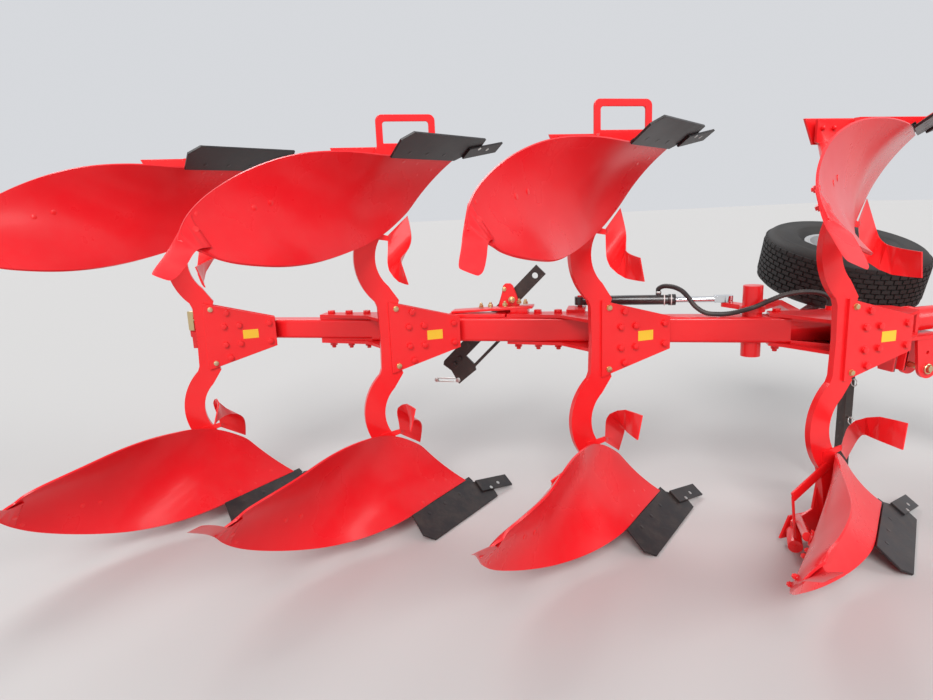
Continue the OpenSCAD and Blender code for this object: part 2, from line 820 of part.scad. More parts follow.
// Packer arm on the second body's part of the beam, behind it as seen from the right
packer_pin = [-343, 131];
packer_pin_d = 30;
packer_v = 98;
packer_t = 16;
packer_rise = 45;

module packer_mount() {
    base = clasp_z;
    color("red") at_beam(2) {
        translate([0, 0, base]) linear_extrude(15) polygon([
            [395 - body_pitch, -46], [-clasp_reach - 8, -46], [-clasp_reach - 8, 44], [-270, 44],
            [-270, packer_v], [-420, packer_v], [-420, 46], [345 - body_pitch, 24],
            [345 - body_pitch, 4]
        ]);
        upright(packer_v - 18, 18) polygon([
            [-425, base], [-290, base], [-318, 155], [-336, 202], [-350, 214], [-374, 214],
            [-386, 202], [-392, 170]
        ]);
        upright(packer_v - 1, packer_t + 8) translate(packer_pin) circle(d = packer_pin_d);
        upright(packer_v + packer_t + 1, 8) translate(packer_pin) circle(d = 50);
    }
}

module packer_arm() {
    color("#2a1d1a") at_beam(2) upright(packer_v + 0.5, packer_t) translate(packer_pin) rotate(packer_rise)
        difference() {
            union() {
                polygon([
                    [211, 34], [-500, 34], [-518, 22], [-510, -30], [-534, -110], [-450, -118],
                    [-412, -122], [-395, -95], [-395, -34], [211, -34]
                ]);
                translate([-450, -108]) square([320, 16]);
                translate([-146, -108]) square([16, 80]);
            }
            circle(r = packer_pin_d / 2 + run_fit);
            translate([168, 0]) circle(d = 31);
        }
}

module parking_stand() {
    color("#2a1d1a") at_body(1) translate([stand_at.x, stand_at.y, 0]) {
        difference() {
            translate([-stand_w / 2, -stand_w / 2, -ground_drop + 10]) cube([stand_w, stand_w, ground_drop + 80]);
            translate([5 - stand_w / 2, 5 - stand_w / 2, -ground_drop + 9])
                cube([stand_w - 10, stand_w - 10, ground_drop + 90]);
        }
        translate([-75, -75, -ground_drop]) cube([150, 150, 11]);
    }
}

main_beam();
rear_beam();
front_head();
turnover_shaft();
for (k = [1:4]) {
    bracket(k);
    legs(k);
    frogs(k);
    landsides(k);
    moldboards(k);
    shares(k);
    trash_boards(k);
}
lifting_loops();
packer_mount();
packer_arm();
parking_stand();
wheel_arm();
wheel_hub();
tyre();
wheel_barrel();
wheel_rod();
wheel_hose();
headstock();
link_pins();
turnover_barrel();
turnover_rod();
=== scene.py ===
"""Looks of a mounted reversible moldboard plough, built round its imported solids.

Every length is in metres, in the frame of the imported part: +X is the direction of travel, +Y the
left-hand side and +Z up, with the origin at the upper link's holes.
"""

import json
import logging
import math
from dataclasses import dataclass
from enum import Enum
from typing import Iterable, Sequence

import bmesh
import bpy
from mathutils import Matrix, Vector
from mathutils.bvhtree import BVHTree


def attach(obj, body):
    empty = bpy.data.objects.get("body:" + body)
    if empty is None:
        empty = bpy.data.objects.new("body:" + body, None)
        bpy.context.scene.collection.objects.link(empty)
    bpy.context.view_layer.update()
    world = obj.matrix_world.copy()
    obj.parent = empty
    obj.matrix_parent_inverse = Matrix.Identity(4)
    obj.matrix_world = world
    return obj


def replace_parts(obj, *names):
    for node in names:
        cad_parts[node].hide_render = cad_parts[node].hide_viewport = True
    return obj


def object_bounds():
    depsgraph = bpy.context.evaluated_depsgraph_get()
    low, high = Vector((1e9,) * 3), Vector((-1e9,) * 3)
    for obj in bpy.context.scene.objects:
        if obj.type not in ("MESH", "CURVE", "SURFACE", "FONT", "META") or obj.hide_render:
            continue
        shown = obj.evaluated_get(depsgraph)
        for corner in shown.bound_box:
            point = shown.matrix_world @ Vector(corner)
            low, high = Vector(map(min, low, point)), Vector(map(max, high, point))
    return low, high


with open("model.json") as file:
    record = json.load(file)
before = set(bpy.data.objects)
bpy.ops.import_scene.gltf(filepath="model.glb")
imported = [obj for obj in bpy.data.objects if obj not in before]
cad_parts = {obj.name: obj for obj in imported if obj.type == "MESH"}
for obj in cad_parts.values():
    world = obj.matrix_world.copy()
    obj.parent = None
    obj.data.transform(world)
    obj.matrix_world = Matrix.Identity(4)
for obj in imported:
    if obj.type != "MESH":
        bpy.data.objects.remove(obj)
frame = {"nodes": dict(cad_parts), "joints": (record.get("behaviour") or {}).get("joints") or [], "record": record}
CAD_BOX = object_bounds()
BODIES = 4
LOG = logging.getLogger("plough")
Point = Sequence[float]
Colour = tuple[float, float, float]
UP = Vector((0, 0, 1))
LEFT = Vector((0, 1, 0))
RIGHT = -LEFT


class Graph:
    """Nodes of one material or node group, added and joined in few words."""

    def __init__(self, tree: bpy.types.NodeTree) -> None:
        """Starts on a tree.

        Args:
            tree: the material's or the group's node tree.
        """
        self.tree = tree

    def add(self, kind: str, **settings: object) -> bpy.types.Node:
        """Adds a node.

        Args:
            kind: the node's class name, without its ShaderNode prefix.
            settings: attributes to set on it.

        Returns:
            The new node.
        """
        node = self.tree.nodes.new("ShaderNode" + kind)
        for name, value in settings.items():
            setattr(node, name, value)
        return node

    def join(self, source: bpy.types.NodeSocket, target: bpy.types.NodeSocket) -> None:
        """Links an output to an input."""
        self.tree.links.new(source, target)

    def noise(self, place: bpy.types.NodeSocket, **values: float) -> bpy.types.Node:
        """Adds a noise texture at a place, with the given values."""
        node = self.add("TexNoise")
        for name, value in values.items():
            node.inputs[name].default_value = value
        self.join(place, node.inputs["Vector"])
        return node

    def ranged(self, value: bpy.types.NodeSocket, low: float, high: float,
               to_low: float = 0.0, to_high: float = 1.0) -> bpy.types.NodeSocket:
        """Maps a value from one range to another, clamped.

        Args:
            value: the socket to map.
            low: value that gives to_low.
            high: value that gives to_high.
            to_low: result at the low end.
            to_high: result at the high end.

        Returns:
            The mapped value's socket.
        """
        node = self.add("MapRange")
        for place, number in zip(range(1, 5), (low, high, to_low, to_high)):
            node.inputs[place].default_value = number
        self.join(value, node.inputs[0])
        return node.outputs[0]

    def maths(self, operation: str, a: bpy.types.NodeSocket,
              b: bpy.types.NodeSocket | float) -> bpy.types.NodeSocket:
        """Joins two values, or a value and a number, by one operation."""
        node = self.add("Math", operation=operation)
        self.join(a, node.inputs[0])
        if isinstance(b, (int, float)):
            node.inputs[1].default_value = b
        else:
            self.join(b, node.inputs[1])
        return node.outputs[0]

    def mixed(self, factor: bpy.types.NodeSocket, a: Colour | bpy.types.NodeSocket,
              b: Colour) -> bpy.types.NodeSocket:
        """Mixes colour b over colour a.

        Args:
            factor: share of b, from 0 to 1.
            a: the colour below, or a socket that gives it.
            b: the colour above.

        Returns:
            The mixed colour's socket.
        """
        node = self.add("Mix", data_type="RGBA")
        self.join(factor, node.inputs[0])
        if isinstance(a, tuple):
            node.inputs[6].default_value = (*a, 1)
        else:
            self.join(a, node.inputs[6])
        node.inputs[7].default_value = (*b, 1)
        return node.outputs[2]


class Effects:
    """Node groups that the finishes share."""

    def __init__(self) -> None:
        """Builds the three groups once."""
        self.skin = self._skin()
        self.dust = self._dust()
        self.scratches = self._scratches()

    def _group(self, name: str, inputs: Sequence[tuple[str, float]],
               outputs: Sequence[tuple[str, str]]) -> tuple[Graph, bpy.types.Node, bpy.types.Node]:
        """Starts a group with float inputs.

        Args:
            name: the group's name.
            inputs: each input's name and default.
            outputs: each output's name and socket type.

        Returns:
            The graph, its input node and its output node.
        """
        tree = bpy.data.node_groups.new(name, "ShaderNodeTree")
        for label, default in inputs:
            socket = tree.interface.new_socket(label, in_out="INPUT", socket_type="NodeSocketFloat")
            socket.default_value = default
        for label, kind in outputs:
            tree.interface.new_socket(label, in_out="OUTPUT", socket_type=kind)
        return Graph(tree), tree.nodes.new("NodeGroupInput"), tree.nodes.new("NodeGroupOutput")

    def _skin(self) -> bpy.types.NodeTree:
        """Mottling and the fine ripple of a sprayed or cast surface."""
        graph, given, result = self._group(
            "skin", [("Scale", 40.0), ("Depth", 0.1)],
            [("Mottle", "NodeSocketFloat"), ("Normal", "NodeSocketVector")])
        place = graph.add("TexCoord").outputs["Object"]
        broad = graph.noise(place, Scale=3.0, Detail=5.0)
        fine = graph.noise(place, Detail=3.0)
        bump = graph.add("Bump")
        bump.inputs["Distance"].default_value = 0.002
        graph.join(given.outputs["Scale"], fine.inputs["Scale"])
        graph.join(given.outputs["Depth"], bump.inputs["Strength"])
        graph.join(fine.outputs["Fac"], bump.inputs["Height"])
        graph.join(graph.ranged(broad.outputs["Fac"], 0.3, 0.7), result.inputs["Mottle"])
        graph.join(bump.outputs["Normal"], result.inputs["Normal"])
        return graph.tree

    def _dust(self) -> bpy.types.NodeTree:
        """Soil dust, thicker on faces that look up."""
        graph, given, result = self._group(
            "dust", [("Amount", 0.2), ("Scale", 14.0)], [("Mask", "NodeSocketFloat")])
        cloud = graph.noise(graph.add("TexCoord").outputs["Object"], Detail=9.0, Roughness=0.68)
        graph.join(given.outputs["Scale"], cloud.inputs["Scale"])
        facing = graph.add("SeparateXYZ")
        graph.join(graph.add("NewGeometry").outputs["Normal"], facing.inputs[0])
        up = graph.ranged(facing.outputs["Z"], -0.2, 1.0, 0.35, 1.0)
        spots = graph.ranged(cloud.outputs["Fac"], 0.44, 0.74)
        shown = graph.maths("MULTIPLY", graph.maths("MULTIPLY", spots, up), given.outputs["Amount"])
        graph.join(shown, result.inputs["Mask"])
        return graph.tree

    def _scratches(self) -> bpy.types.NodeTree:
        """Fine scratches along the direction of travel."""
        graph, given, result = self._group(
            "scratches", [("Amount", 0.5), ("Scale", 60.0)], [("Mask", "NodeSocketFloat")])
        turned = graph.add("Mapping")
        turned.inputs["Rotation"].default_value = (0.1, 0.2, math.radians(40))
        turned.inputs["Scale"].default_value = (0.06, 1.0, 1.0)
        graph.join(graph.add("TexCoord").outputs["Object"], turned.inputs["Vector"])
        lines = graph.noise(turned.outputs["Vector"], Detail=4.0)
        graph.join(given.outputs["Scale"], lines.inputs["Scale"])
        shown = graph.ranged(lines.outputs["Fac"], 0.62, 0.70)
        graph.join(graph.maths("MULTIPLY", shown, given.outputs["Amount"]), result.inputs["Mask"])
        return graph.tree


EFFECTS = Effects()


@dataclass(frozen=True)
class Finish:
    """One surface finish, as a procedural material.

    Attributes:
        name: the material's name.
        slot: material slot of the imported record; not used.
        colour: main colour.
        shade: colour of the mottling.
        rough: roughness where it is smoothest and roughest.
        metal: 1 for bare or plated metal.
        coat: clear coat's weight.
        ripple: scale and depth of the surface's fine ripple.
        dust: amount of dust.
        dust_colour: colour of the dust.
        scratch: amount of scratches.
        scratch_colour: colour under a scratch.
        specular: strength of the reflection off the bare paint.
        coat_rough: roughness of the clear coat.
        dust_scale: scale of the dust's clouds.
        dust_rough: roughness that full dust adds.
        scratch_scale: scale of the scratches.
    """
    name: str
    slot: str
    colour: Colour
    shade: Colour
    rough: tuple[float, float] = (0.3, 0.45)
    metal: float = 0.0
    coat: float = 0.0
    ripple: tuple[float, float] = (60.0, 0.08)
    dust: float = 0.1
    dust_colour: Colour = (0.36, 0.27, 0.20)
    scratch: float = 0.0
    scratch_colour: Colour = (0.30, 0.29, 0.28)
    specular: float = 0.5
    coat_rough: float = 0.12
    dust_scale: float = 14.0
    dust_rough: float = 0.4
    scratch_scale: float = 60.0

    def _effect(self, graph: Graph, tree: bpy.types.NodeTree, **values: float) -> bpy.types.Node:
        """Places a shared effect with its own values."""
        node = graph.add("Group", node_tree=tree)
        for name, value in values.items():
            node.inputs[name].default_value = value
        return node

    def material(self) -> bpy.types.Material:
        """Makes the material once, and gives it again when asked again."""
        known = bpy.data.materials.get(self.name)
        if known:
            return known
        made = bpy.data.materials.new(self.name)
        made.use_nodes = True
        graph = Graph(made.node_tree)
        shader = made.node_tree.nodes["Principled BSDF"]
        skin = self._effect(graph, EFFECTS.skin, Scale=self.ripple[0], Depth=self.ripple[1])
        dust = self._effect(graph, EFFECTS.dust, Amount=self.dust, Scale=self.dust_scale)
        colour = graph.mixed(skin.outputs["Mottle"], self.colour, self.shade)
        if self.scratch:
            lines = self._effect(graph, EFFECTS.scratches, Amount=self.scratch,
                                 Scale=self.scratch_scale)
            colour = graph.mixed(lines.outputs["Mask"], colour, self.scratch_colour)
        colour = graph.mixed(dust.outputs["Mask"], colour, self.dust_colour)
        rough = graph.ranged(skin.outputs["Mottle"], 0.0, 1.0, *self.rough)
        dusty = graph.maths("MULTIPLY", dust.outputs["Mask"], self.dust_rough)
        graph.join(colour, shader.inputs["Base Color"])
        graph.join(graph.maths("ADD", rough, dusty), shader.inputs["Roughness"])
        graph.join(skin.outputs["Normal"], shader.inputs["Normal"])
        shader.inputs["Metallic"].default_value = self.metal
        shader.inputs["Specular IOR Level"].default_value = self.specular
        shader.inputs["Coat Weight"].default_value = self.coat
        shader.inputs["Coat Roughness"].default_value = self.coat_rough
        return made


class Finishes(Enum):
    """The plough's finishes."""
    RED = Finish("red_gloss_paint", "red_paint", (0.84, 0.012, 0.016), (0.78, 0.010, 0.013),
                 rough=(0.28, 0.36), coat=0.25, ripple=(90.0, 0.05), dust=0.05, specular=0.4)
    RED_BOARD = Finish("red_board_paint", "red_paint", (0.80, 0.011, 0.018), (0.74, 0.009, 0.015),
                       rough=(0.24, 0.34), coat=0.1, ripple=(26.0, 0.04), dust=0.05, specular=0.3)
    BLACK = Finish("share_black_paint", "share_black", (0.010, 0.0085, 0.0095),
                   (0.015, 0.012, 0.013), rough=(0.34, 0.46), ripple=(70.0, 0.12), dust=0.10,
                   scratch=0.10, scratch_colour=(0.09, 0.08, 0.08))
    DARK = Finish("stand_dark_paint", "dark_paint", (0.022, 0.014, 0.012), (0.034, 0.022, 0.018),
                  rough=(0.36, 0.5), ripple=(80.0, 0.1), dust=0.14, scratch=0.08)
    RIM = Finish("rim_grey_paint", "rim_grey", (0.42, 0.43, 0.44), (0.36, 0.37, 0.38),
                 rough=(0.34, 0.46), coat=0.15, dust=0.3)
    TYRE = Finish("tyre_rubber", "tyre", (0.010, 0.009, 0.0088), (0.017, 0.0145, 0.0135),
                  rough=(0.58, 0.74), ripple=(220.0, 0.2), dust=0.16,
                  dust_colour=(0.11, 0.085, 0.065))
    RAM = Finish("ram_black_paint", "ram_black", (0.015, 0.015, 0.017), (0.024, 0.022, 0.024),
                 rough=(0.22, 0.34), coat=0.3, ripple=(80.0, 0.05), dust=0.2)
    CHROME = Finish("rod_chrome", "ram_chrome", (0.72, 0.73, 0.75), (0.66, 0.67, 0.69),
                    rough=(0.07, 0.13), metal=1.0, ripple=(200.0, 0.01), dust=0.03)
    HOSE = Finish("hose_sleeve", "hose_rubber", (0.018, 0.015, 0.015), (0.028, 0.022, 0.021),
                  rough=(0.40, 0.55), ripple=(300.0, 0.12), dust=0.22)
    ZINC = Finish("yellow_zinc", "zinc", (0.74, 0.56, 0.28), (0.62, 0.50, 0.34),
                  rough=(0.26, 0.40), metal=1.0, ripple=(160.0, 0.06), dust=0.06)
    WHITE_ZINC = Finish("white_zinc", "zinc", (0.66, 0.65, 0.62), (0.54, 0.53, 0.51),
                        rough=(0.26, 0.42), metal=1.0, ripple=(160.0, 0.06), dust=0.08)
    STICKER = Finish("sticker_yellow", "red_paint", (0.86, 0.55, 0.02), (0.80, 0.50, 0.02),
                     rough=(0.30, 0.36), coat=0.2, ripple=(40.0, 0.02), dust=0.05)
    BAND = Finish("band_white", "ram_black", (0.78, 0.77, 0.74), (0.70, 0.69, 0.66),
                  rough=(0.42, 0.5), ripple=(90.0, 0.04), dust=0.12)


def pointing(at: Point, axis: Point, roll: float = 0.0) -> Matrix:
    """Place whose z axis points along an axis.

    Args:
        at: origin of the place.
        axis: direction of its z axis.
        roll: turn about that axis, in radians.

    Returns:
        The 4 x 4 matrix.
    """
    turn = Vector(axis).to_track_quat("Z", "Y").to_matrix().to_4x4()
    return Matrix.Translation(at) @ turn @ Matrix.Rotation(roll, 4, "Z")


def standing(at: Point, x: Vector, y: Vector, z: Vector) -> Matrix:
    """Place at a point, with the given axes."""
    return Matrix.Translation(at) @ Matrix((x, y, z)).transposed().to_4x4()


def placed(name: str, data: bpy.types.ID) -> bpy.types.Object:
    """New object in the scene that shows a mesh, lamp or camera."""
    made = bpy.data.objects.new(name, data)
    bpy.context.scene.collection.objects.link(made)
    return made


@dataclass(frozen=True)
class Proportions:
    """Sizes of bolts and nuts, as shares of their thread's diameter.

    Attributes:
        washer: radius of the washer.
        washer_thick: its thickness.
        foot: height at which the hexagon starts, just inside the washer.
        flats: width across the flats.
        head: height of a bolt's head.
        nut: height of a nut.
        chamfer: bevel of the thread's end.
    """
    washer: float = 0.94
    washer_thick: float = 0.15
    foot: float = 0.14
    flats: float = 1.5
    head: float = 0.64
    nut: float = 0.80
    chamfer: float = 0.08


BOLT = Proportions()
# How deep a washer sits in its seat and a thread in its nut, so that no gap shows.
SINK = 0.0004
OVERLAP = 0.001


class Shape:
    """A mesh in the making, from bmesh operators, with its place in its points."""

    def __init__(self) -> None:
        """Starts empty."""
        self.bm = bmesh.new()

    def rod(self, a: Point, b: Point, radius: float, steps: int = 24,
            chamfer: float = 0.0) -> None:
        """Adds a round bar between two points.

        Args:
            a: centre of one end.
            b: centre of the other.
            radius: its radius.
            steps: sides.
            chamfer: width of the bevel round both ends.
        """
        a, b = Vector(a), Vector(b)
        made = bmesh.ops.create_cone(
            self.bm, cap_ends=True, segments=steps, radius1=radius, radius2=radius,
            depth=(b - a).length, matrix=pointing((a + b) / 2, b - a))
        self._soften(made["verts"], chamfer, steps)

    def _soften(self, verts: Sequence[bmesh.types.BMVert], width: float, corners: int = 0) -> None:
        """Bevels the edges of the faces at some points.

        Args:
            verts: the points.
            width: width of the bevel, 0 to leave the edges sharp.
            corners: takes only faces with this many corners, or all where it is 0.
        """
        if width:
            faces = {f for v in verts for f in v.link_faces if corners in (0, len(f.verts))}
            edges = list({e for f in faces for e in f.edges})
            bmesh.ops.bevel(self.bm, geom=edges, offset=width, segments=2, profile=0.5,
                            affect="EDGES", material=-1, clamp_overlap=True)

    def _face_outwards(self, verts: Iterable[bmesh.types.BMVert]) -> None:
        """Turns the faces at some points outwards."""
        bmesh.ops.recalc_face_normals(self.bm, faces=list({f for v in verts for f in v.link_faces}))

    def hexagon(self, at: Point, axis: Point, across: float, height: float,
                roll: float = 0.0) -> None:
        """Adds a bolt head or nut that stands on a point.

        Args:
            at: centre of its foot.
            axis: direction in which it stands.
            across: width across the flats.
            height: height of the head.
            roll: turn about its axis, in radians.
        """
        place = pointing(at, axis, roll) @ Matrix.Translation((0, 0, height / 2))
        made = bmesh.ops.create_cone(self.bm, cap_ends=True, segments=6, matrix=place, depth=height,
                                     radius1=across / math.sqrt(3), radius2=across / math.sqrt(3))
        self._soften(made["verts"], across * 0.06, 6)

    def flush(self, found: tuple[Vector, Vector] | None, radius: float,
              proud: float = 0.0006, depth: float = 0.002) -> None:
        """Adds the head of a flush bolt.

        Args:
            found: its seat and the outward direction there, or None for no bolt.
            radius: radius of the head.
            proud: how far it stands out.
            depth: how deep it reaches into the plate.
        """
        if found:
            at, normal = found
            self.rod(at - normal * depth, at + normal * proud, radius, chamfer=proud / 2)

    def ring(self, centre: Vector, radius: float, wire: float, lean: float = 0.0) -> None:
        """Adds a wire ring that faces along y.

        Args:
            centre: its centre.
            radius: its radius.
            wire: radius of the wire.
            lean: how far its top leans along y, as a share of the radius.
        """
        turns = [math.tau * n / 24 for n in range(24)]
        self.swept([centre + radius * Vector((math.sin(t), lean * math.cos(t), math.cos(t)))
                    for t in turns], wire, steps=8, closed=True)

    def bolt(self, at: Point, axis: Point, size: float,
             thread: float = 0.0, roll: float = 0.0) -> None:
        """Adds a washer with a hexagon on it, and a thread end where it is a nut.

        Args:
            at: point on the seat.
            axis: direction away from the seat.
            size: diameter of the thread.
            thread: length of thread past the nut, 0 for a bolt head.
            roll: turn about its axis, in radians.
        """
        at, axis = Vector(at), Vector(axis).normalized()
        self.rod(at - axis * SINK, at + axis * BOLT.washer_thick * size, size * BOLT.washer,
                 steps=20)
        height = size * (BOLT.nut if thread else BOLT.head)
        self.hexagon(at + axis * BOLT.foot * size, axis, BOLT.flats * size, height, roll)
        if thread:
            top = BOLT.foot * size + height
            self.rod(at + axis * (top - OVERLAP), at + axis * (top + thread), size / 2, steps=16,
                     chamfer=size * BOLT.chamfer)

    def box(self, place: Matrix, size: Point, bevel: float = 0.0) -> None:
        """Adds a box.

        Args:
            place: matrix of its centre.
            size: its three lengths.
            bevel: width of the bevel along its edges.
        """
        made = bmesh.ops.create_cube(self.bm, size=1.0, matrix=place @ Matrix.Diagonal((*size, 1)))
        self._soften(made["verts"], bevel)

    def plate(self, place: Matrix, outline: Sequence[Point], thick: float,
              bevel: float = 0.0) -> None:
        """Adds a flat plate with a given outline.

        Args:
            place: matrix of the outline's plane; the plate grows along its z axis.
            outline: corners in that plane.
            thick: thickness.
            bevel: width of the bevel along its edges.
        """
        face = self.bm.faces.new([self.bm.verts.new(place @ Vector((x, y, 0))) for x, y in outline])
        grown = bmesh.ops.extrude_face_region(self.bm, geom=[face])["geom"]
        verts = [g for g in grown if isinstance(g, bmesh.types.BMVert)]
        bmesh.ops.translate(self.bm, verts=verts, vec=place.to_3x3() @ Vector((0, 0, thick)))
        verts += face.verts
        self._face_outwards(verts)
        self._soften(verts, bevel)

    def revolve(self, place: Matrix, profile: Sequence[Point], steps: int) -> None:
        """Adds a shape turned about the z axis of a place.

        Args:
            place: matrix of the axis.
            profile: radius and height of each point; the last joins the first.
            steps: sides round the axis.
        """
        verts = [self.bm.verts.new((r, 0, z)) for r, z in profile]
        edges = [self.bm.edges.new(pair) for pair in zip(verts, verts[1:] + verts[:1])]
        bmesh.ops.spin(self.bm, geom=verts + edges, cent=(0, 0, 0), axis=(0, 0, 1),
                       angle=math.tau, steps=steps, use_merge=True)
        linked, stack = set(), [v for v in verts if v.is_valid]
        while stack:
            vert = stack.pop()
            if vert not in linked:
                linked.add(vert)
                stack += [e.other_vert(vert) for e in vert.link_edges]
        bmesh.ops.remove_doubles(self.bm, verts=list(linked), dist=1e-6)
        linked = {v for v in linked if v.is_valid}
        bmesh.ops.transform(self.bm, matrix=place, verts=list(linked))
        self._face_outwards(linked)

    def swept(self, points: Sequence[Point], radius: float, steps: int,
              closed: bool = False) -> None:
        """Adds a round wire along points.

        Args:
            points: the wire's centre line.
            radius: its radius.
            steps: sides.
            closed: True for a ring.
        """
        path = [Vector(p) for p in points]
        count = len(path)
        rings = []
        side = None
        for i, at in enumerate(path):
            ahead = path[(i + 1) % count] if closed or i + 1 < count else at
            behind = path[i - 1] if closed or i else at
            way = (ahead - behind).normalized()
            if side is None:
                side = way.orthogonal().normalized()
            side = (side - way * side.dot(way)).normalized()
            over = way.cross(side)
            turns = [math.tau * s / steps for s in range(steps)]
            rings.append([self.bm.verts.new(at + radius * (math.cos(t) * side
                                                           + math.sin(t) * over)) for t in turns])
        edges = [[self.bm.edges.new((ring[s], ring[(s + 1) % steps])) for s in range(steps)]
                 for ring in rings]
        pairs = list(zip(edges, edges[1:]))
        if closed:
            pairs.append((edges[-1], edges[0]))
        for a, b in pairs:
            bmesh.ops.bridge_loops(self.bm, edges=a + b)
        if not closed:
            self.bm.faces.new(list(reversed(rings[0])))
            self.bm.faces.new(rings[-1])
        self._face_outwards({v for ring in rings for v in ring})

    def piece(self, name: str, finish: Finishes, body: str = "frame",
              sharp: float = 35.0) -> bpy.types.Object:
        """Ends the mesh as a piece of the plough.

        Args:
            name: the piece's name.
            finish: its finish.
            body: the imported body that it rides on.
            sharp: edges past this angle, in degrees, stay sharp.

        Returns:
            The finished object.
        """
        mesh = bpy.data.meshes.new(name)
        self.bm.to_mesh(mesh)
        self.bm.free()
        mesh.shade_smooth()
        mesh.set_sharp_from_angle(angle=math.radians(sharp))
        made = placed(name, mesh)
        mesh.materials.append(finish.value.material())
        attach(made, body)
        LOG.info("%s rides on %s, %d faces", name, body, len(mesh.polygons))
        return made


BODY_OF = {node: body for body, nodes in frame["record"]["behaviour"]["bodies"].items()
           for node in nodes}
JOINTS = {joint["name"]: joint for joint in frame["joints"]}


# Faces that meet at less than FLAT are one face; edges past EDGE are broken or stay creased.
FLAT = math.radians(0.4)
EDGE = math.radians(40)


def merged(node: str) -> bmesh.types.BMesh:
    """Copy of a solid's mesh with its loose triangles joined."""
    bm = bmesh.new()
    bm.from_mesh(frame["nodes"][node].data)
    bmesh.ops.remove_doubles(bm, verts=bm.verts, dist=1e-5)
    return bm


def dress(node: str, finish: Finishes, bevel: float = 0.0025) -> bpy.types.Object:
    """Stands in for a plate or casting with the same shape and broken edges.

    Args:
        node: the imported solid.
        finish: its finish.
        bevel: width of the broken edges.

    Returns:
        The piece that replaces the solid.
    """
    shape = Shape()
    shape.bm = merged(node)
    bmesh.ops.dissolve_limit(shape.bm, angle_limit=FLAT, verts=shape.bm.verts,
                             edges=shape.bm.edges, delimit={"NORMAL"})
    piece = shape.piece(node + "_skin", finish, BODY_OF[node])
    if bevel:
        edge = piece.modifiers.new("edges", "BEVEL")
        edge.width = bevel
        edge.segments = 2
        edge.limit_method = "ANGLE"
        edge.angle_limit = EDGE
        edge.harden_normals = True
        edge.use_clamp_overlap = True
    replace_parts(piece, node)
    return piece


def dress_sheet(node: str, finish: Finishes, levels: int = 2) -> bpy.types.Object:
    """Stands in for a curved sheet with the same shape, smoothed between its sections.

    Args:
        node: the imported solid.
        finish: its finish.
        levels: subdivision levels.

    Returns:
        The piece that replaces the solid.
    """
    shape = Shape()
    shape.bm = merged(node)
    bmesh.ops.join_triangles(shape.bm, faces=shape.bm.faces,
                             angle_face_threshold=math.radians(25),
                             angle_shape_threshold=math.radians(75))
    crease = shape.bm.edges.layers.float.new("crease_edge")
    for edge in shape.bm.edges:
        if edge.calc_face_angle(math.pi) > EDGE:
            edge[crease] = 1.0
    piece = shape.piece(node + "_skin", finish, BODY_OF[node])
    smooth = piece.modifiers.new("smooth", "SUBSURF")
    smooth.levels = smooth.render_levels = levels
    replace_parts(piece, node)
    return piece


class Surface:
    """Finds points on a solid's faces."""

    def __init__(self, node: str) -> None:
        """Reads the solid's mesh.

        Args:
            node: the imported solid.
        """
        mesh = frame["nodes"][node].data
        self.tree = BVHTree.FromPolygons([v.co for v in mesh.vertices],
                                         [p.vertices for p in mesh.polygons])

    def nearest(self, point: Vector) -> tuple[Vector, Vector]:
        """Nearest point of the surface, and the direction from it to the given point."""
        at = self.tree.find_nearest(point)[0]
        return at, (point - at).normalized()

    def hit(self, start: Vector, way: Vector) -> tuple[Vector, Vector] | None:
        """First point that a ray meets.

        Args:
            start: where the ray starts.
            way: its direction.

        Returns:
            The point and the outward normal there, or None.
        """
        at, normal, _, _ = self.tree.ray_cast(start, way)
        if at is None:
            return None
        return at, (-normal if normal.dot(way) > 0 else normal)


class Side(Enum):
    """The two bodies of a pair, by the sign of their height over the beam's middle plane."""
    LOWER = -1
    UPPER = 1


@dataclass(frozen=True)
class Layout:
    """Where the plough's bodies and its beam are.

    Attributes:
        pitch: distance between bodies along the beam.
        angle: the beam's angle to the direction of travel.
        back: distance of the first body behind the origin.
        right: its distance to the right of the origin.
        axis_drop: depth of the beam's middle plane below the origin.
        post_back: the wheel's post from the first body's beam origin, rearwards.
        ground_drop: share edges below the beam's middle plane.
    """
    pitch: float = 1.0
    angle: float = math.radians(30)
    back: float = 1.450
    right: float = 0.240
    axis_drop: float = 0.310
    post_back: float = 0.205
    ground_drop: float = 0.923

    def body(self, k: int, x: float, y: float, z: float, side: Side = Side.UPPER) -> Vector:
        """A point by its place in body k's own frame.

        Args:
            k: the body, from the front.
            x: distance ahead of the bracket's rear bolts.
            y: distance to the left of the bracket's near face.
            z: height over the beam's middle plane, for the upper body.
            side: which body of the pair.

        Returns:
            The point in the row frame.
        """
        along = (k - 1) * self.pitch
        return Vector((-self.back - along * math.cos(self.angle) + x,
                       -self.right + along * math.sin(self.angle) + y,
                       -self.axis_drop + z * side.value))

    def beam(self, k: int, u: float, v: float, z: float) -> Vector:
        """A point u ahead along the beam, v across it to the left and z above its middle."""
        post = Vector(JOINTS["wheel_arm_swing"]["pos_m"])
        along = u + self.post_back - (k - 1) * self.pitch
        return post + self.ahead * along + self.across * v + UP * z

    @property
    def ahead(self) -> Vector:
        """Forward direction along the beam."""
        return Vector((math.cos(self.angle), -math.sin(self.angle), 0))

    @property
    def across(self) -> Vector:
        """Leftward direction across the beam."""
        return Vector((math.sin(self.angle), math.cos(self.angle), 0))

    def on_beam(self, k: int, u: float, v: float, z: float) -> Matrix:
        """Place on the beam whose x axis runs along it and y axis across it."""
        return standing(self.beam(k, u, v, z), self.ahead, self.across, UP)


LAYOUT = Layout()


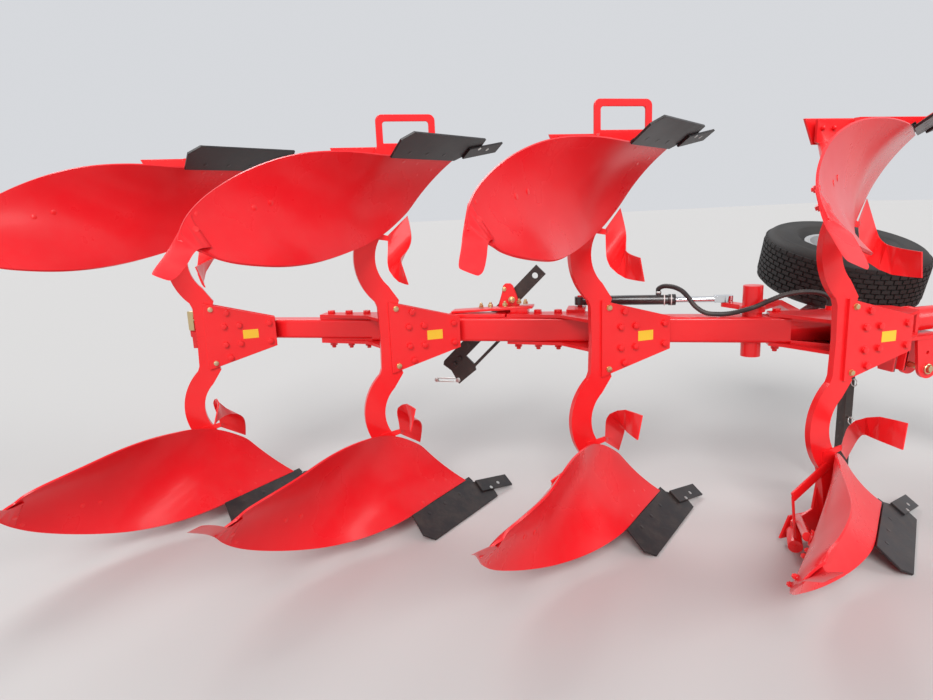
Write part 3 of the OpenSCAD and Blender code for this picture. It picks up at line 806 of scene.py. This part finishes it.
@dataclass(frozen=True)
class ShareFrame:
    """Frame along a share's edge: s along the edge, n level behind it, z up from it.

    Attributes:
        edge: x and y of the edge's start in the body's frame.
        angle: the edge's angle to the direction of travel.
        slope: the share's slope.
    """
    edge: tuple[float, float] = (0.061, -0.316)
    angle: float = math.radians(39.5)
    slope: float = math.radians(34)

    def point(self, k: int, s: float, n: float, z: float, side: Side) -> Vector:
        """A point in the row frame.

        Args:
            k: the body, from the front.
            s: distance along the edge.
            n: level distance behind it.
            z: height from it towards the beam.
            side: which body of the pair.

        Returns:
            The point.
        """
        c, w = math.cos(self.angle), math.sin(self.angle)
        return LAYOUT.body(k, self.edge[0] + s * c - n * w, self.edge[1] + s * w + n * c,
                           LAYOUT.ground_drop - z, side)

    @property
    def behind(self) -> Vector:
        """Level direction from the edge to what lies behind it."""
        return Vector((-math.sin(self.angle), math.cos(self.angle), 0))


SHARE = ShareFrame()


@dataclass
class BodyPair:
    """The upper and lower body of one place on the beam.

    Attributes:
        k: its place, from the front.
        width: thickness of the bracket, over its two cheeks.
        pivot: height of the zinc bolts that hold the leg.
        pivot_bolt: their thread.
        heads: x and height of the painted bolt heads on the cheek.
        bolt: thread of the bracket's bolts.
        thread: length of thread past their nuts.
        sticker: x and height of the blank sticker, its width, height and thickness.
        board_bolts: s and height of the flush bolts on the moldboard.
        share_bolts: s of the flush bolts on the share.
        share_row: their distance up the share.
        point_bolts: s of the plated bolts in the point bar, and their distance behind the edge.
        side_bolts: x of the flush bolts on the landside, and their height.
        frog_bolts: x of the bolts on the frog's rear end, and their height.
        flush: radii of the flush bolts on moldboard and landside, share and point bar.
        leg: rear and front end of the legs' butted ends, their near face and their thickness.
        filler: height of the filler between those ends, and how much thinner it is than the legs.
        seam: the seam's distance up the share, its ends along the edge and its depth.
        strip: how far the dark strip behind it reaches below and above it, and its thickness; the strip is painted
            shade for the joint.
        stay: end of the stay that holds the moldboard's wing.
        pad: radius and thickness of the pad at that end.
        heel: ends of the round stub behind the lower leg's foot.
        stub: its radius.
        strut: ends of the flat strut over it.
        flat: width and thickness of that strut.
    """
    k: int
    width: float = 0.0546
    pivot: float = 0.1407
    pivot_bolt: float = 0.014
    heads: tuple = ((0.076, 0.118), (0.058, 0.048), (0.133, 0.048), (0.283, 0.048))
    bolt: float = 0.0175
    thread: float = 0.008
    sticker: tuple = (0.186, -0.002, 0.077, 0.046, 0.0008)
    board_bolts: tuple = ((0.115, 0.110), (0.215, 0.115), (0.345, 0.138), (0.265, 0.165),
                          (-0.880, 0.350), (-0.845, 0.300), (-0.600, 0.285), (-0.520, 0.270))
    share_bolts: tuple = (0.09, 0.22, 0.35)
    share_row: float = 0.118
    point_bolts: tuple = ((0.56, 0.63), 0.035)
    side_bolts: tuple = ((-0.15, 0.14, 0.20), 0.845)
    frog_bolts: tuple = ((-0.192, -0.139), 0.852)
    flush: tuple = (0.011, 0.0105, 0.0095)
    leg: tuple = (-0.080, 0.190, 0.0123, 0.030)
    filler: tuple = (0.008, 0.002)
    seam: tuple = (0.165, 0.030, 0.530, 0.0102)
    strip: tuple = (-0.014, 0.018, 0.002)
    stay: tuple = (-0.507, -0.344, 0.631)
    pad: tuple = (0.029, 0.009)
    heel: tuple = ((-0.205, 0.046, 0.850), (-0.279, -0.050, 0.862))
    stub: float = 0.030
    strut: tuple = ((-0.078, 0.010, 0.545), (-0.309, -0.050, 0.630))
    flat: tuple = (0.040, 0.012)

    def build(self) -> None:
        """Makes every piece of the pair."""
        self._skins()
        self._bracket()
        self._board_bolts()
        self._share_bolts()
        self._landside_bolts()
        self._seams()
        self._back_side()

    def _skins(self) -> None:
        """Stands in for the pair's solids."""
        for node, bevel in (("bracket", 0.0025), ("legs", 0.003), ("frogs", 0.002),
                            ("landsides", 0.002)):
            dress(f"{node}_{self.k}", Finishes.RED, bevel)
        dress(f"shares_{self.k}", Finishes.BLACK, 0.0015)
        dress_sheet(f"moldboards_{self.k}", Finishes.RED_BOARD)
        dress_sheet(f"trash_boards_{self.k}", Finishes.RED)

    def _bracket(self) -> None:
        """Bolts and sticker on the bracket's cheeks."""
        painted, plated, label = Shape(), Shape(), Shape()
        for side in Side:
            for bolts, places, size in ((plated, ((0, self.pivot),), self.pivot_bolt),
                                        (painted, self.heads, self.bolt)):
                for x, z in places:
                    bolts.bolt(LAYOUT.body(self.k, x, 0, z, side), RIGHT, size, roll=9 * x)
                    bolts.bolt(LAYOUT.body(self.k, x, self.width, z, side), LEFT, size, self.thread)
        x, z, wide, high, thick = self.sticker
        label.box(Matrix.Translation(LAYOUT.body(self.k, x, -thick / 2, z)), (wide, thick, high))
        rear, front, face, thick = self.leg
        middle = LAYOUT.body(self.k, (rear + front) / 2, face + thick / 2, 0)
        high, less = self.filler
        painted.box(Matrix.Translation(middle), (front - rear, thick - less, high))
        painted.piece(f"bracket_bolts_{self.k}", Finishes.RED)
        plated.piece(f"leg_bolts_{self.k}", Finishes.ZINC)
        label.piece(f"sticker_{self.k}", Finishes.STICKER)

    def _board_bolts(self) -> None:
        """Flush bolts seen as discs on the moldboards, with nuts behind."""
        heads, nuts = Shape(), Shape()
        surface = Surface(f"moldboards_{self.k}")
        for side in Side:
            for s, z in self.board_bolts:
                heads.flush(surface.hit(SHARE.point(self.k, s, -0.3, z, side), SHARE.behind),
                            self.flush[0])
                back = surface.hit(SHARE.point(self.k, s, 0.7, z, side), -SHARE.behind)
                if back:
                    nuts.bolt(*back, 0.012, 0.005)
        heads.piece(f"board_bolt_heads_{self.k}", Finishes.RED)
        nuts.piece(f"board_bolt_nuts_{self.k}", Finishes.RED)

    def _share_bolts(self) -> None:
        """Flush bolts on the share and the bolt that holds its point bar."""
        heads, plated = Shape(), Shape()
        surface = Surface(f"shares_{self.k}")
        rise = math.sin(SHARE.slope) * self.share_row
        level = math.cos(SHARE.slope) * self.share_row
        for side in Side:
            down = UP * side.value
            for s in self.share_bolts:
                start = SHARE.point(self.k, s, level, rise + 0.3, side)
                heads.flush(surface.hit(start, down), self.flush[1])
            for s in self.point_bolts[0]:
                start = SHARE.point(self.k, s, self.point_bolts[1], 0.4, side)
                plated.flush(surface.hit(start, down), self.flush[2], 0.0008)
        heads.piece(f"share_bolts_{self.k}", Finishes.BLACK)
        plated.piece(f"point_bolts_{self.k}", Finishes.WHITE_ZINC)

    def _landside_bolts(self) -> None:
        """Bolts through the landside and the frog's rear end."""
        heads = Shape()
        landsides, frogs = Surface(f"landsides_{self.k}"), Surface(f"frogs_{self.k}")
        for side in Side:
            for x in self.side_bolts[0]:
                start = LAYOUT.body(self.k, x, 0.4, self.side_bolts[1], side)
                heads.flush(landsides.hit(start, RIGHT), self.flush[0])
            for x in self.frog_bolts[0]:
                found = frogs.hit(LAYOUT.body(self.k, x, -0.3, self.frog_bolts[1], side), LEFT)
                if found:
                    heads.bolt(found[0], RIGHT, 0.010, 0.003)
        heads.piece(f"landside_bolts_{self.k}", Finishes.RED)

    def _seams(self) -> None:
        """Black strips behind the share and moldboard seams: painted shade, seen through the gaps as a dark line.
        """
        strips = Shape()
        rise, start, end, depth = self.seam
        c, w = math.cos(SHARE.slope), math.sin(SHARE.slope)
        for side in Side:
            corner, far, up, back = (
                SHARE.point(self.k, s, rise * c + u * c + d * w, rise * w + u * w - d * c, side)
                for s, u, d in ((start, 0, depth), (end, 0, depth), (start, 1, depth),
                                (start, 0, depth + 1)))
            along = far - corner
            long, (low, high, thick) = along.length, self.strip
            place = standing(corner, along.normalized(), up - corner, back - corner)
            strips.plate(place, [(0, low), (long, low), (long, high), (0, high)], thick)
        # Share black, so that each seam shows as a dark line: painted shade in the joint.
        strips.piece(f"seam_shade_strips_{self.k}", Finishes.BLACK)

    def _back_side(self) -> None:
        """Pads where the stays meet the moldboards, and the lower leg's strut and stub."""
        back = Shape()
        surface = Surface(f"moldboards_{self.k}")
        radius, thick = self.pad
        for side in Side:
            at, away = surface.nearest(LAYOUT.body(self.k, *self.stay, side))
            seat = at + away * thick
            back.rod(at - away * 0.0005, seat, radius, chamfer=0.002)
            back.bolt(seat + away.orthogonal() * 0.022, away, 0.008)
        root, end, top, low = (LAYOUT.body(self.k, *point, Side.LOWER)
                               for point in (*self.heel, *self.strut))
        out = (end - root).normalized()
        back.rod(root, end, self.stub, steps=40, chamfer=0.003)
        back.rod(end, end + out * 0.004, 0.009)
        back.rod(end - out * 0.02, low, 0.006)
        way = (low - top).normalized()
        wide = way.cross(LEFT).normalized()
        back.box(standing((top + low) / 2, way, wide, way.cross(wide)),
                 ((low - top).length, *self.flat), 0.002)
        back.piece(f"back_side_{self.k}", Finishes.RED)


@dataclass
class Beam:
    """The two square tubes and what clamps the brackets to them.

    Attributes:
        clasp_top: height of the clasp plates' outer faces over the middle plane.
        tail_drop: how much lower they are on the thinner rear tube.
        bolt_places: for each body, the places of its clasp bolts along the beam.
        bolt: their thread.
        tail_side: the rear tube's near face across the beam.
        plates: middles along and above the beam and lengths and heights of the plates on its end.
        plate: their thickness.
        disc: place along the beam of the disc's two faces, its height and its radius.
    """
    clasp_top: float = 0.0753
    tail_drop: float = 0.010
    bolt_places: tuple = ((-0.10,), (-0.10, -0.20, -0.30), (-0.10, -0.20, -0.30), (-0.06,))
    bolt: float = 0.022
    tail_side: float = -0.050
    plates: tuple = ((-0.112, 0.046, 0.034, 0.106), (-0.086, -0.060, 0.056, 0.094))
    plate: float = 0.011
    disc: tuple = (-0.1302, -0.146, 0.012, 0.034)

    def build(self) -> None:
        """Makes the beam's pieces."""
        dress("main_beam", Finishes.RED, 0.0)
        dress("rear_beam", Finishes.RED, 0.0)
        dress("lifting_loops", Finishes.RED, 0.003)
        bolts = Shape()
        for k, places in enumerate(self.bolt_places, 1):
            top = self.clasp_top - (self.tail_drop if k == BODIES else 0)
            for u in places:
                bolts.bolt(LAYOUT.beam(k, u, 0, top), UP, self.bolt, roll=u * 9)
                bolts.bolt(LAYOUT.beam(k, u, 0, -top), -UP, self.bolt, 0.012, roll=u * 5)
        bolts.piece("clasp_bolts", Finishes.RED)
        self._tail_end()

    def _tail_end(self) -> None:
        """Plated and painted plates bolted to the rear tube's end."""
        plated, painted, disc = Shape(), Shape(), Shape()
        side, near = self.tail_side - 0.006, -LAYOUT.across
        for shape, (u, z, wide, high) in zip((plated, painted), self.plates):
            shape.box(LAYOUT.on_beam(BODIES, u, side, z), (wide, self.plate, high), 0.002)
        plated.bolt(LAYOUT.beam(BODIES, -0.075, self.tail_side, 0.026), near, 0.014, 0.006)
        plated.rod(LAYOUT.beam(BODIES, -0.095, side, 0.052),
                   LAYOUT.beam(BODIES, -0.050, side, 0.052), 0.006, chamfer=0.001)
        painted.bolt(LAYOUT.beam(BODIES, -0.086, side - self.plate / 2, -0.085), near, 0.013)
        inner, outer, z, radius = self.disc
        face = LAYOUT.beam(BODIES, outer, 0, z)
        disc.rod(LAYOUT.beam(BODIES, inner, 0, z), face, radius, steps=40, chamfer=0.002)
        disc.bolt(face, -LAYOUT.ahead, 0.016, 0.006)
        plated.piece("tail_plate_plated", Finishes.ZINC)
        painted.piece("tail_plate_painted", Finishes.RED)
        disc.piece("tail_disc", Finishes.WHITE_ZINC)


@dataclass
class Wheel:
    """Carrying wheel: tyre with a block tread, rim, hub and its arm.

    Attributes:
        radius: outside radius of the tyre.
        half: half its width.
        rim: radius of the rim's seat.
        tread_depth: height of the tread's blocks.
        rows: rows of blocks across the tread.
        blocks: blocks in a row.
        bead: points of the bead and sidewall, by radius over the rim and distance from the middle.
        ribs: number of the sidewall's ribs, and the first one's and their spacing's radius.
        rib: distances of a rib's foot and top from the middle, and its width.
        shoulder: radius of the shoulder.
        edge: plain width beside the tread's blocks.
        nut_circle: radius of the wheel nuts' circle, and their distance over the hub's middle.
    """
    radius: float = 0.4225
    half: float = 0.145
    rim: float = 0.215
    tread_depth: float = 0.008
    rows: int = 9
    blocks: int = 52
    bead: tuple = ((-0.020, 0.1), (0.012, 0.104), (0.020, 0.112), (0.026, 0.122), (0.042, 0.139),
                   (0.052, 0.1435), (0.058, 0.1415))
    ribs: tuple = (7, 0.072, 0.010)
    rib: tuple = (0.1435, 0.1445, 0.002)
    shoulder: float = 0.055
    edge: float = 0.030
    nut_circle: tuple = (0.088, -0.020)

    def __post_init__(self) -> None:
        """Reads the wheel's place from its joint."""
        joint = JOINTS["wheel_spin"]
        self.place = pointing(joint["pos_m"], joint["axis"])

    def build(self) -> None:
        """Makes the wheel's pieces."""
        self._tyre()
        dress("wheel_hub", Finishes.RIM, 0.0015)
        dress("wheel_arm", Finishes.RED, 0.003)
        self._hub_details()

    def _tyre(self) -> None:
        """Carcass with sidewall ribs, and the blocks of its tread."""
        carcass = Shape()
        profile = [(self.rim + r, z) for r, z in self.bead]
        count, first, spacing = self.ribs
        foot, top, width = self.rib
        for i in range(count):
            r = self.rim + first + i * spacing
            profile += [(r - width, top), (r, foot)]
        centre = self.radius - self.tread_depth - self.shoulder
        for i in range(9):
            t = math.radians(90 - 85 * i / 8)
            profile.append((centre + self.shoulder * math.cos(t),
                            self.half - self.shoulder + self.shoulder * math.sin(t)))
        mirrored = [(r, -z) for r, z in reversed(profile)]
        carcass.revolve(self.place, profile + mirrored, steps=96)
        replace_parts(carcass.piece("tyre_carcass", Finishes.TYRE, "wheel", sharp=50), "tyre")
        blocks = Shape()
        wide = 2 * (self.half - self.edge)
        pitch = wide / self.rows
        block = (0.015, math.tau * self.radius / self.blocks * 0.80, pitch * 0.72)
        for row in range(self.rows):
            z = -wide / 2 + (row + 0.5) * pitch
            drop = 0.004 if row in (0, self.rows - 1) else 0.0
            out = Matrix.Translation((self.radius - block[0] / 2 - drop, 0, z))
            for n in range(self.blocks):
                turn = math.tau * (n + 0.5 * (row % 2)) / self.blocks
                blocks.box(self.place @ Matrix.Rotation(turn, 4, "Z") @ out, block)
        blocks.piece("tyre_tread", Finishes.TYRE, "wheel")

    def _hub_details(self) -> None:
        """Wheel nuts and hub cap."""
        nuts, cap = Shape(), Shape()
        axis = self.place.to_3x3() @ UP
        radius, high = self.nut_circle
        for n in range(6):
            turn = math.tau * n / 6
            at = self.place @ Vector((radius * math.cos(turn), radius * math.sin(turn), high))
            nuts.bolt(at, axis, 0.016, 0.006)
        cap.revolve(self.place, [(0.001, 0.050), (0.001, 0.086), (0.026, 0.086), (0.034, 0.080),
                                 (0.036, 0.070), (0.036, 0.050)], steps=32)
        nuts.piece("wheel_nuts", Finishes.ZINC, "wheel")
        cap.piece("hub_cap", Finishes.RIM, "wheel")


@dataclass
class Hose:
    """Sleeved hose from the wheel's ram to the port on the head.

    Attributes:
        radius: outside radius.
        points: the route along, across and above the beam, as in the solids.
        rings: rings of the sleeve's ribs.
        sides: sides of the hose.
        groove: radius between the ribs, as a share of the outside radius.
    """
    radius: float = 0.012
    points: tuple = (
        (-0.620, 0.114, 0.158), (-0.620, 0.114, 0.174), (-0.594, 0.103, 0.188),
        (-0.552, 0.070, 0.187), (-0.516, 0.034, 0.173), (-0.490, 0.001, 0.147),
        (-0.458, -0.027, 0.107), (-0.415, -0.041, 0.080), (-0.365, -0.045, 0.074),
        (-0.310, -0.052, 0.078), (-0.255, -0.069, 0.094), (-0.200, -0.076, 0.114),
        (-0.135, -0.052, 0.139), (-0.060, 0.008, 0.155), (0.030, 0.070, 0.158),
        (0.110, 0.110, 0.145), (0.148, 0.120, 0.120), (0.150, 0.120, 0.086))
    rings: int = 200
    sides: int = 12
    groove: float = 0.84

    def _at(self, t: float) -> Vector:
        """Point of the smooth route at t, from 0 to 1."""
        place = t * (len(self.points) - 1)
        i = min(int(place), len(self.points) - 2)
        f = place - i
        a, b, c, d = (Vector(self.points[max(0, min(j, len(self.points) - 1))])
                      for j in (i - 1, i, i + 1, i + 2))
        inner = f * ((c - a) + f * ((2 * a - 5 * b + 4 * c - d) + f * (3 * (b - c) + d - a))) / 2
        return LAYOUT.beam(1, *(b + inner))

    def build(self) -> None:
        path = [self._at(i / self.rings) for i in range(self.rings + 1)]
        shape = Shape()
        shape.swept(path, self.radius, self.sides)
        for i, vert in enumerate(shape.bm.verts):
            ring = i // self.sides
            if ring % 2:
                vert.co = path[ring] + (vert.co - path[ring]) * self.groove
        piece = shape.piece("hose_sleeve", Finishes.HOSE, "frame", sharp=80)
        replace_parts(piece, "wheel_hose")


@dataclass
class Rams:
    """The wheel's ram and the turnover ram.

    Attributes:
        gland: ends of the wheel ram's gland along it, and its radius.
        bands: places of the white bands along it, their width and their radius.
        port: place of the hose's port along it, and the height of its foot.
        fitting: width across the flats and height of the fitting on the port.
    """
    gland: tuple = (0.425, 0.462, 0.0275)
    bands: tuple = ((0.405, 0.438), 0.005, 0.0282)
    port: tuple = (0.380, 0.030)
    fitting: tuple = (0.024, 0.012)

    def build(self) -> None:
        """Makes both rams' pieces."""
        dress("wheel_barrel", Finishes.RAM, 0.0015)
        dress("wheel_rod", Finishes.CHROME, 0.001)
        dress("turnover_barrel", Finishes.RAM, 0.002)
        dress("turnover_rod", Finishes.CHROME, 0.001)
        self._wheel_ram()

    def _wheel_ram(self) -> None:
        """Gland, white bands and port fitting of the wheel's ram."""
        base = Vector(JOINTS["wheel_ram_swing"]["pos_m"])
        axis = Vector(JOINTS["wheel_ram_slide"]["axis"]).normalized()
        gland, bands, fitting = Shape(), Shape(), Shape()
        start, end, radius = self.gland
        gland.rod(base + axis * start, base + axis * end, radius, steps=32, chamfer=0.003)
        places, width, radius = self.bands
        for at in places:
            bands.rod(base + axis * at, base + axis * (at + width), radius, steps=32, chamfer=0.001)
        fitting.hexagon(base + axis * self.port[0] + UP * self.port[1], UP, *self.fitting)
        gland.piece("wheel_ram_gland", Finishes.RAM, "wheel_ram_barrel")
        bands.piece("wheel_ram_bands", Finishes.BAND, "wheel_ram_barrel")
        fitting.piece("wheel_ram_port", Finishes.WHITE_ZINC, "wheel_ram_barrel")


@dataclass
class PackerArm:
    """Swinging arm that pulls a following packer, with its catch, and the plate that carries it.

    Attributes:
        k: the body behind whose bracket it stands.
        rise: the arm's slope at rest.
        half: half the arm's thickness.
        bolts: places along and across the arm of the bolts at its lower end.
        bolt: their thread.
        trip: ends of the trip lever's two flats, along and across the arm.
        flat: height and thickness of a flat, and its distance from the lever's middle.
        bosses: radii of the pins at the lever's ends.
        studs: places along and across the beam of the studs on the carrying plate.
        plate_top: height of the carrying plate over the beam's middle plane.
        wedge: ends of the sloping plate on it along the beam, and its height at the front end.
        wedge_thick: thickness of that plate.
        wedge_side: its near face across the beam, and its width.
        cleat: corners along and above the beam of the plate under the wedge's front end.
        ear_side: the ear's near face across the beam.
        ear: places along and above the beam of the ear's nuts, their threads and ends past them.
    """
    k: int = 2
    rise: float = math.radians(45)
    half: float = 0.008
    bolts: tuple = ((-0.428, -0.016), (-0.470, -0.019))
    bolt: float = 0.0155
    trip: tuple = ((-0.522, -0.092), (-0.607, -0.008))
    flat: tuple = (0.010, 0.006, 0.009)
    bosses: tuple = (0.013, 0.011)
    studs: tuple = ((-0.492, 0.03), (-0.442, 0.02), (-0.366, 0.01), (-0.300, 0.05), (-0.262, 0.01))
    plate_top: float = Beam.clasp_top
    wedge: tuple = (-0.640, -0.225, 0.036)
    wedge_thick: float = 0.012
    wedge_side: tuple = (0.066, 0.082)
    cleat: tuple = ((-0.335, 0.0), (-0.250, 0.0), (-0.250, 0.024), (-0.335, 0.020))
    ear_side: float = 0.080
    ear: tuple = ((-0.380, 0.186, 0.012, 0.006), (-0.376, 0.105, 0.012, 0.006),
                  (-0.343, 0.131, 0.018, 0.008))

    def __post_init__(self) -> None:
        """Reads the arm's place from its joint."""
        pin = Vector(JOINTS["packer_arm_swing"]["pos_m"])
        along = LAYOUT.ahead * math.cos(self.rise) + UP * math.sin(self.rise)
        self.place = standing(pin, along, LAYOUT.across, along.cross(LAYOUT.across))

    def _at(self, along: float, over: float, out: float = 0.0) -> Vector:
        """A point along and across the arm, and out from its near face."""
        return self.place @ Vector((along, -self.half - out, over))

    def build(self) -> None:
        """Makes the arm's pieces."""
        dress("packer_mount", Finishes.RED)
        dress("packer_arm", Finishes.DARK)
        self._arm_details()
        self._mount_details()

    def _arm_details(self) -> None:
        """Bolts and trip lever at the arm's lower end."""
        near = -LAYOUT.across
        bolts, lever = Shape(), Shape()
        for along, over in self.bolts:
            bolts.bolt(self._at(along, over), near, self.bolt, roll=along)
            bolts.bolt(self._at(along, over, -2 * self.half), -near, self.bolt, 0.006)
        a, b = Vector(self.trip[0]), Vector(self.trip[1])
        way = (b - a).normalized()
        turn = Matrix.Rotation(-math.atan2(way.y, way.x), 4, "Y")
        high, thick, apart = self.flat
        for shift in (-apart, apart):
            middle = (a + b) / 2 + Vector((-way.y, way.x)) * shift
            lever.box(self.place @ Matrix.Translation((middle.x, 0.0, middle.y)) @ turn,
                      ((b - a).length, high, thick), 0.0015)
        for end, radius in zip((a, b), self.bosses):
            lever.rod(self._at(*end, -0.014), self._at(*end, 0.004), radius, chamfer=0.002)
        bolts.piece("packer_arm_bolts", Finishes.DARK, "packer_arm")
        lever.piece("packer_trip_lever", Finishes.WHITE_ZINC, "packer_arm")

    def _mount_details(self) -> None:
        """Plated studs on the carrying plate and the pin's plated nut."""
        studs, wedge = Shape(), Shape()
        rear, front, rise = self.wedge
        thick = self.wedge_thick
        near, wide = self.wedge_side
        slope = rise / (front - rear)
        side = LAYOUT.on_beam(self.k, 0, near, self.plate_top)
        side = side @ Matrix.Rotation(math.tau / 4, 4, "X")
        wedge.plate(side, [(rear, 0.0), (front, rise - thick), (front, rise), (rear, thick)],
                    wide, 0.002)
        wedge.plate(side, self.cleat, wide, 0.001)
        for u, v in self.studs:
            seat = LAYOUT.beam(self.k, u, v, self.plate_top + thick + slope * (u - rear))
            studs.bolt(seat, UP, 0.014, 0.010, roll=9 * u)
        wedge.piece("packer_mount_wedge", Finishes.RED)
        for u, z, size, end in self.ear:
            studs.bolt(LAYOUT.beam(self.k, u, self.ear_side, z), -LAYOUT.across, size, end)
        studs.piece("packer_mount_studs", Finishes.ZINC)


@dataclass
class Stand:
    """Parking stand with the ring pins that hold it.

    Attributes:
        at: x and y of its middle, in the first body's frame.
        width: width of its leg.
        pins: x and height of the ring pins.
        ring: radius of their rings.
        wire: radius of the rings' wire.
    """
    at: tuple = (0.418, 0.420)
    width: float = 0.050
    pins: tuple = ((0.418, -0.306), (0.418, -0.504))
    ring: float = 0.018
    wire: float = 0.0026

    def build(self) -> None:
        """Makes the stand's pieces."""
        dress("parking_stand", Finishes.DARK)
        rings = Shape()
        face = self.at[1] - self.width / 2
        for x, z in self.pins:
            top = LAYOUT.body(1, x, face - 0.012, z)
            rings.rod(top + LEFT * 0.014, top + RIGHT * 0.010, 0.006, chamfer=0.001)
            rings.ring(top + RIGHT * 0.006 - UP * 0.9 * self.ring, self.ring, self.wire, 0.3)
        rings.piece("stand_ring_pins", Finishes.WHITE_ZINC, "parking_stand")


@dataclass
class Front:
    """Front head, turnover shaft and headstock.

    Attributes:
        hitch_pin: x, y and height of the pin in the near lug, in the first body's frame.
        pin: its radius, and how far it stands out before and reaches behind that place.
        ring: radius of the ring in it, and of the ring's wire.
    """
    hitch_pin: tuple = (0.635, 0.170, -0.229)
    pin: tuple = (0.0145, 0.016, 0.130)
    ring: tuple = (0.022, 0.0032)

    def build(self) -> None:
        """Makes the front's pieces."""
        dress("front_head", Finishes.RED)
        dress("turnover_shaft", Finishes.RED)
        dress("headstock", Finishes.RED)
        dress("link_pins", Finishes.WHITE_ZINC, 0.002)
        self._hitch_pin()

    def _hitch_pin(self) -> None:
        """Plated pin with a ring in the lugs below the head."""
        pin = Shape()
        x, y, z = self.hitch_pin
        radius, out, back = self.pin
        near = LAYOUT.body(1, x, y - out, z)
        pin.rod(near, LAYOUT.body(1, x, y + back, z), radius, chamfer=0.002)
        pin.ring(near + Vector((-0.010, 0.006, 0)), *self.ring)
        pin.piece("head_hitch_pin", Finishes.ZINC)


@dataclass(frozen=True)
class Studio:
    """Floor, light and camera.

    Attributes:
        focal: focal length over the image's width.
        camera_at: the camera's place.
        azimuth: where it looks, from +Y towards -X.
        pitch: how far it looks down.
        roll: its turn about its own axis.
        floor: half the floor's side.
        softness: how wide each lamp looks from the plough.
        lamps: name, direction and strength of each lamp.
        sky: strength of the sky as a lamp, and as it is seen.
        sky_colour: its colour.
        floor_colour: the floor's colour.
    """
    focal: float = 691.2 / 933
    camera_at: tuple = (-3.8014, -2.4764, 0.3151)
    azimuth: float = math.radians(-16.57)
    pitch: float = math.radians(12.05)
    roll: float = math.radians(-2.34)
    floor: float = 60.0
    softness: float = math.radians(28)
    lamps: tuple = (("key", (-2.9, -5.8, 4.8), 2.5), ("fill", (5.1, -4.8, 3.8), 0.8),
                    ("back", (-0.4, 4.7, 5.3), 1.0))
    sky: tuple = (0.55, 0.72)
    sky_colour: Colour = (0.94, 0.96, 1.0)
    floor_colour: Colour = (0.52, 0.51, 0.50)

    def build(self) -> None:
        """Makes the studio."""
        self._camera()
        self._floor()
        self._lights()

    def _camera(self) -> None:
        """Camera at the photograph's viewpoint."""
        level = math.cos(self.pitch)
        ahead = Vector((-math.sin(self.azimuth) * level, math.cos(self.azimuth) * level,
                        -math.sin(self.pitch)))
        right = Vector((math.cos(self.azimuth), math.sin(self.azimuth), 0))
        over = right.cross(ahead)
        c, s = math.cos(self.roll), math.sin(self.roll)
        data = bpy.data.cameras.new("camera")
        data.sensor_fit = "HORIZONTAL"
        data.sensor_width = 36.0
        data.lens = self.focal * data.sensor_width
        data.clip_end = 400.0
        camera = placed("camera", data)
        camera.matrix_world = standing(self.camera_at, c * right + s * over,
                                       c * over - s * right, -ahead)
        bpy.context.scene.camera = camera

    def _floor(self) -> None:
        """Plain pale floor at the ground."""
        mesh = bpy.data.meshes.new("floor")
        bm = bmesh.new()
        bmesh.ops.create_grid(bm, x_segments=1, y_segments=1, size=self.floor)
        bm.to_mesh(mesh)
        bm.free()
        mesh.transform(Matrix.Translation((0, 0, CAD_BOX[0].z - 0.0005)))
        paint = bpy.data.materials.new("floor_pale")
        paint.use_nodes = True
        shader = paint.node_tree.nodes["Principled BSDF"]
        shader.inputs["Base Color"].default_value = (*self.floor_colour, 1)
        shader.inputs["Roughness"].default_value = 0.9
        mesh.materials.append(paint)
        placed("floor", mesh)

    def _lights(self) -> None:
        """Large soft lamps and an even sky."""
        world = bpy.data.worlds.new("sky")
        world.use_nodes = True
        graph = Graph(world.node_tree)
        sky = world.node_tree.nodes["Background"]
        sky.inputs["Color"].default_value = (*self.sky_colour, 1)
        ray = graph.add("LightPath")
        shown = graph.maths("ADD", ray.outputs["Is Camera Ray"], ray.outputs["Is Glossy Ray"])
        shown = graph.maths("ADD", shown, ray.outputs["Is Transmission Ray"])
        graph.join(graph.ranged(shown, 0.0, 1.0, *self.sky), sky.inputs["Strength"])
        bpy.context.scene.world = world
        for name, way, power in self.lamps:
            data = bpy.data.lights.new(name, "SUN")
            data.angle = self.softness
            data.energy = power
            placed(name, data).matrix_world = pointing(way, way)


def main() -> None:
    """Builds the plough's looks, piece by piece."""
    logging.basicConfig(level=logging.INFO, format="%(message)s")
    bpy.context.scene.view_settings.view_transform = "Standard"
    pairs = [BodyPair(k) for k in range(1, BODIES + 1)]
    for part in (Studio(), Hose(), *pairs, Beam(), Wheel(), Rams(), PackerArm(), Stand(), Front()):
        part.build()


if __name__ == "__main__":
    main()
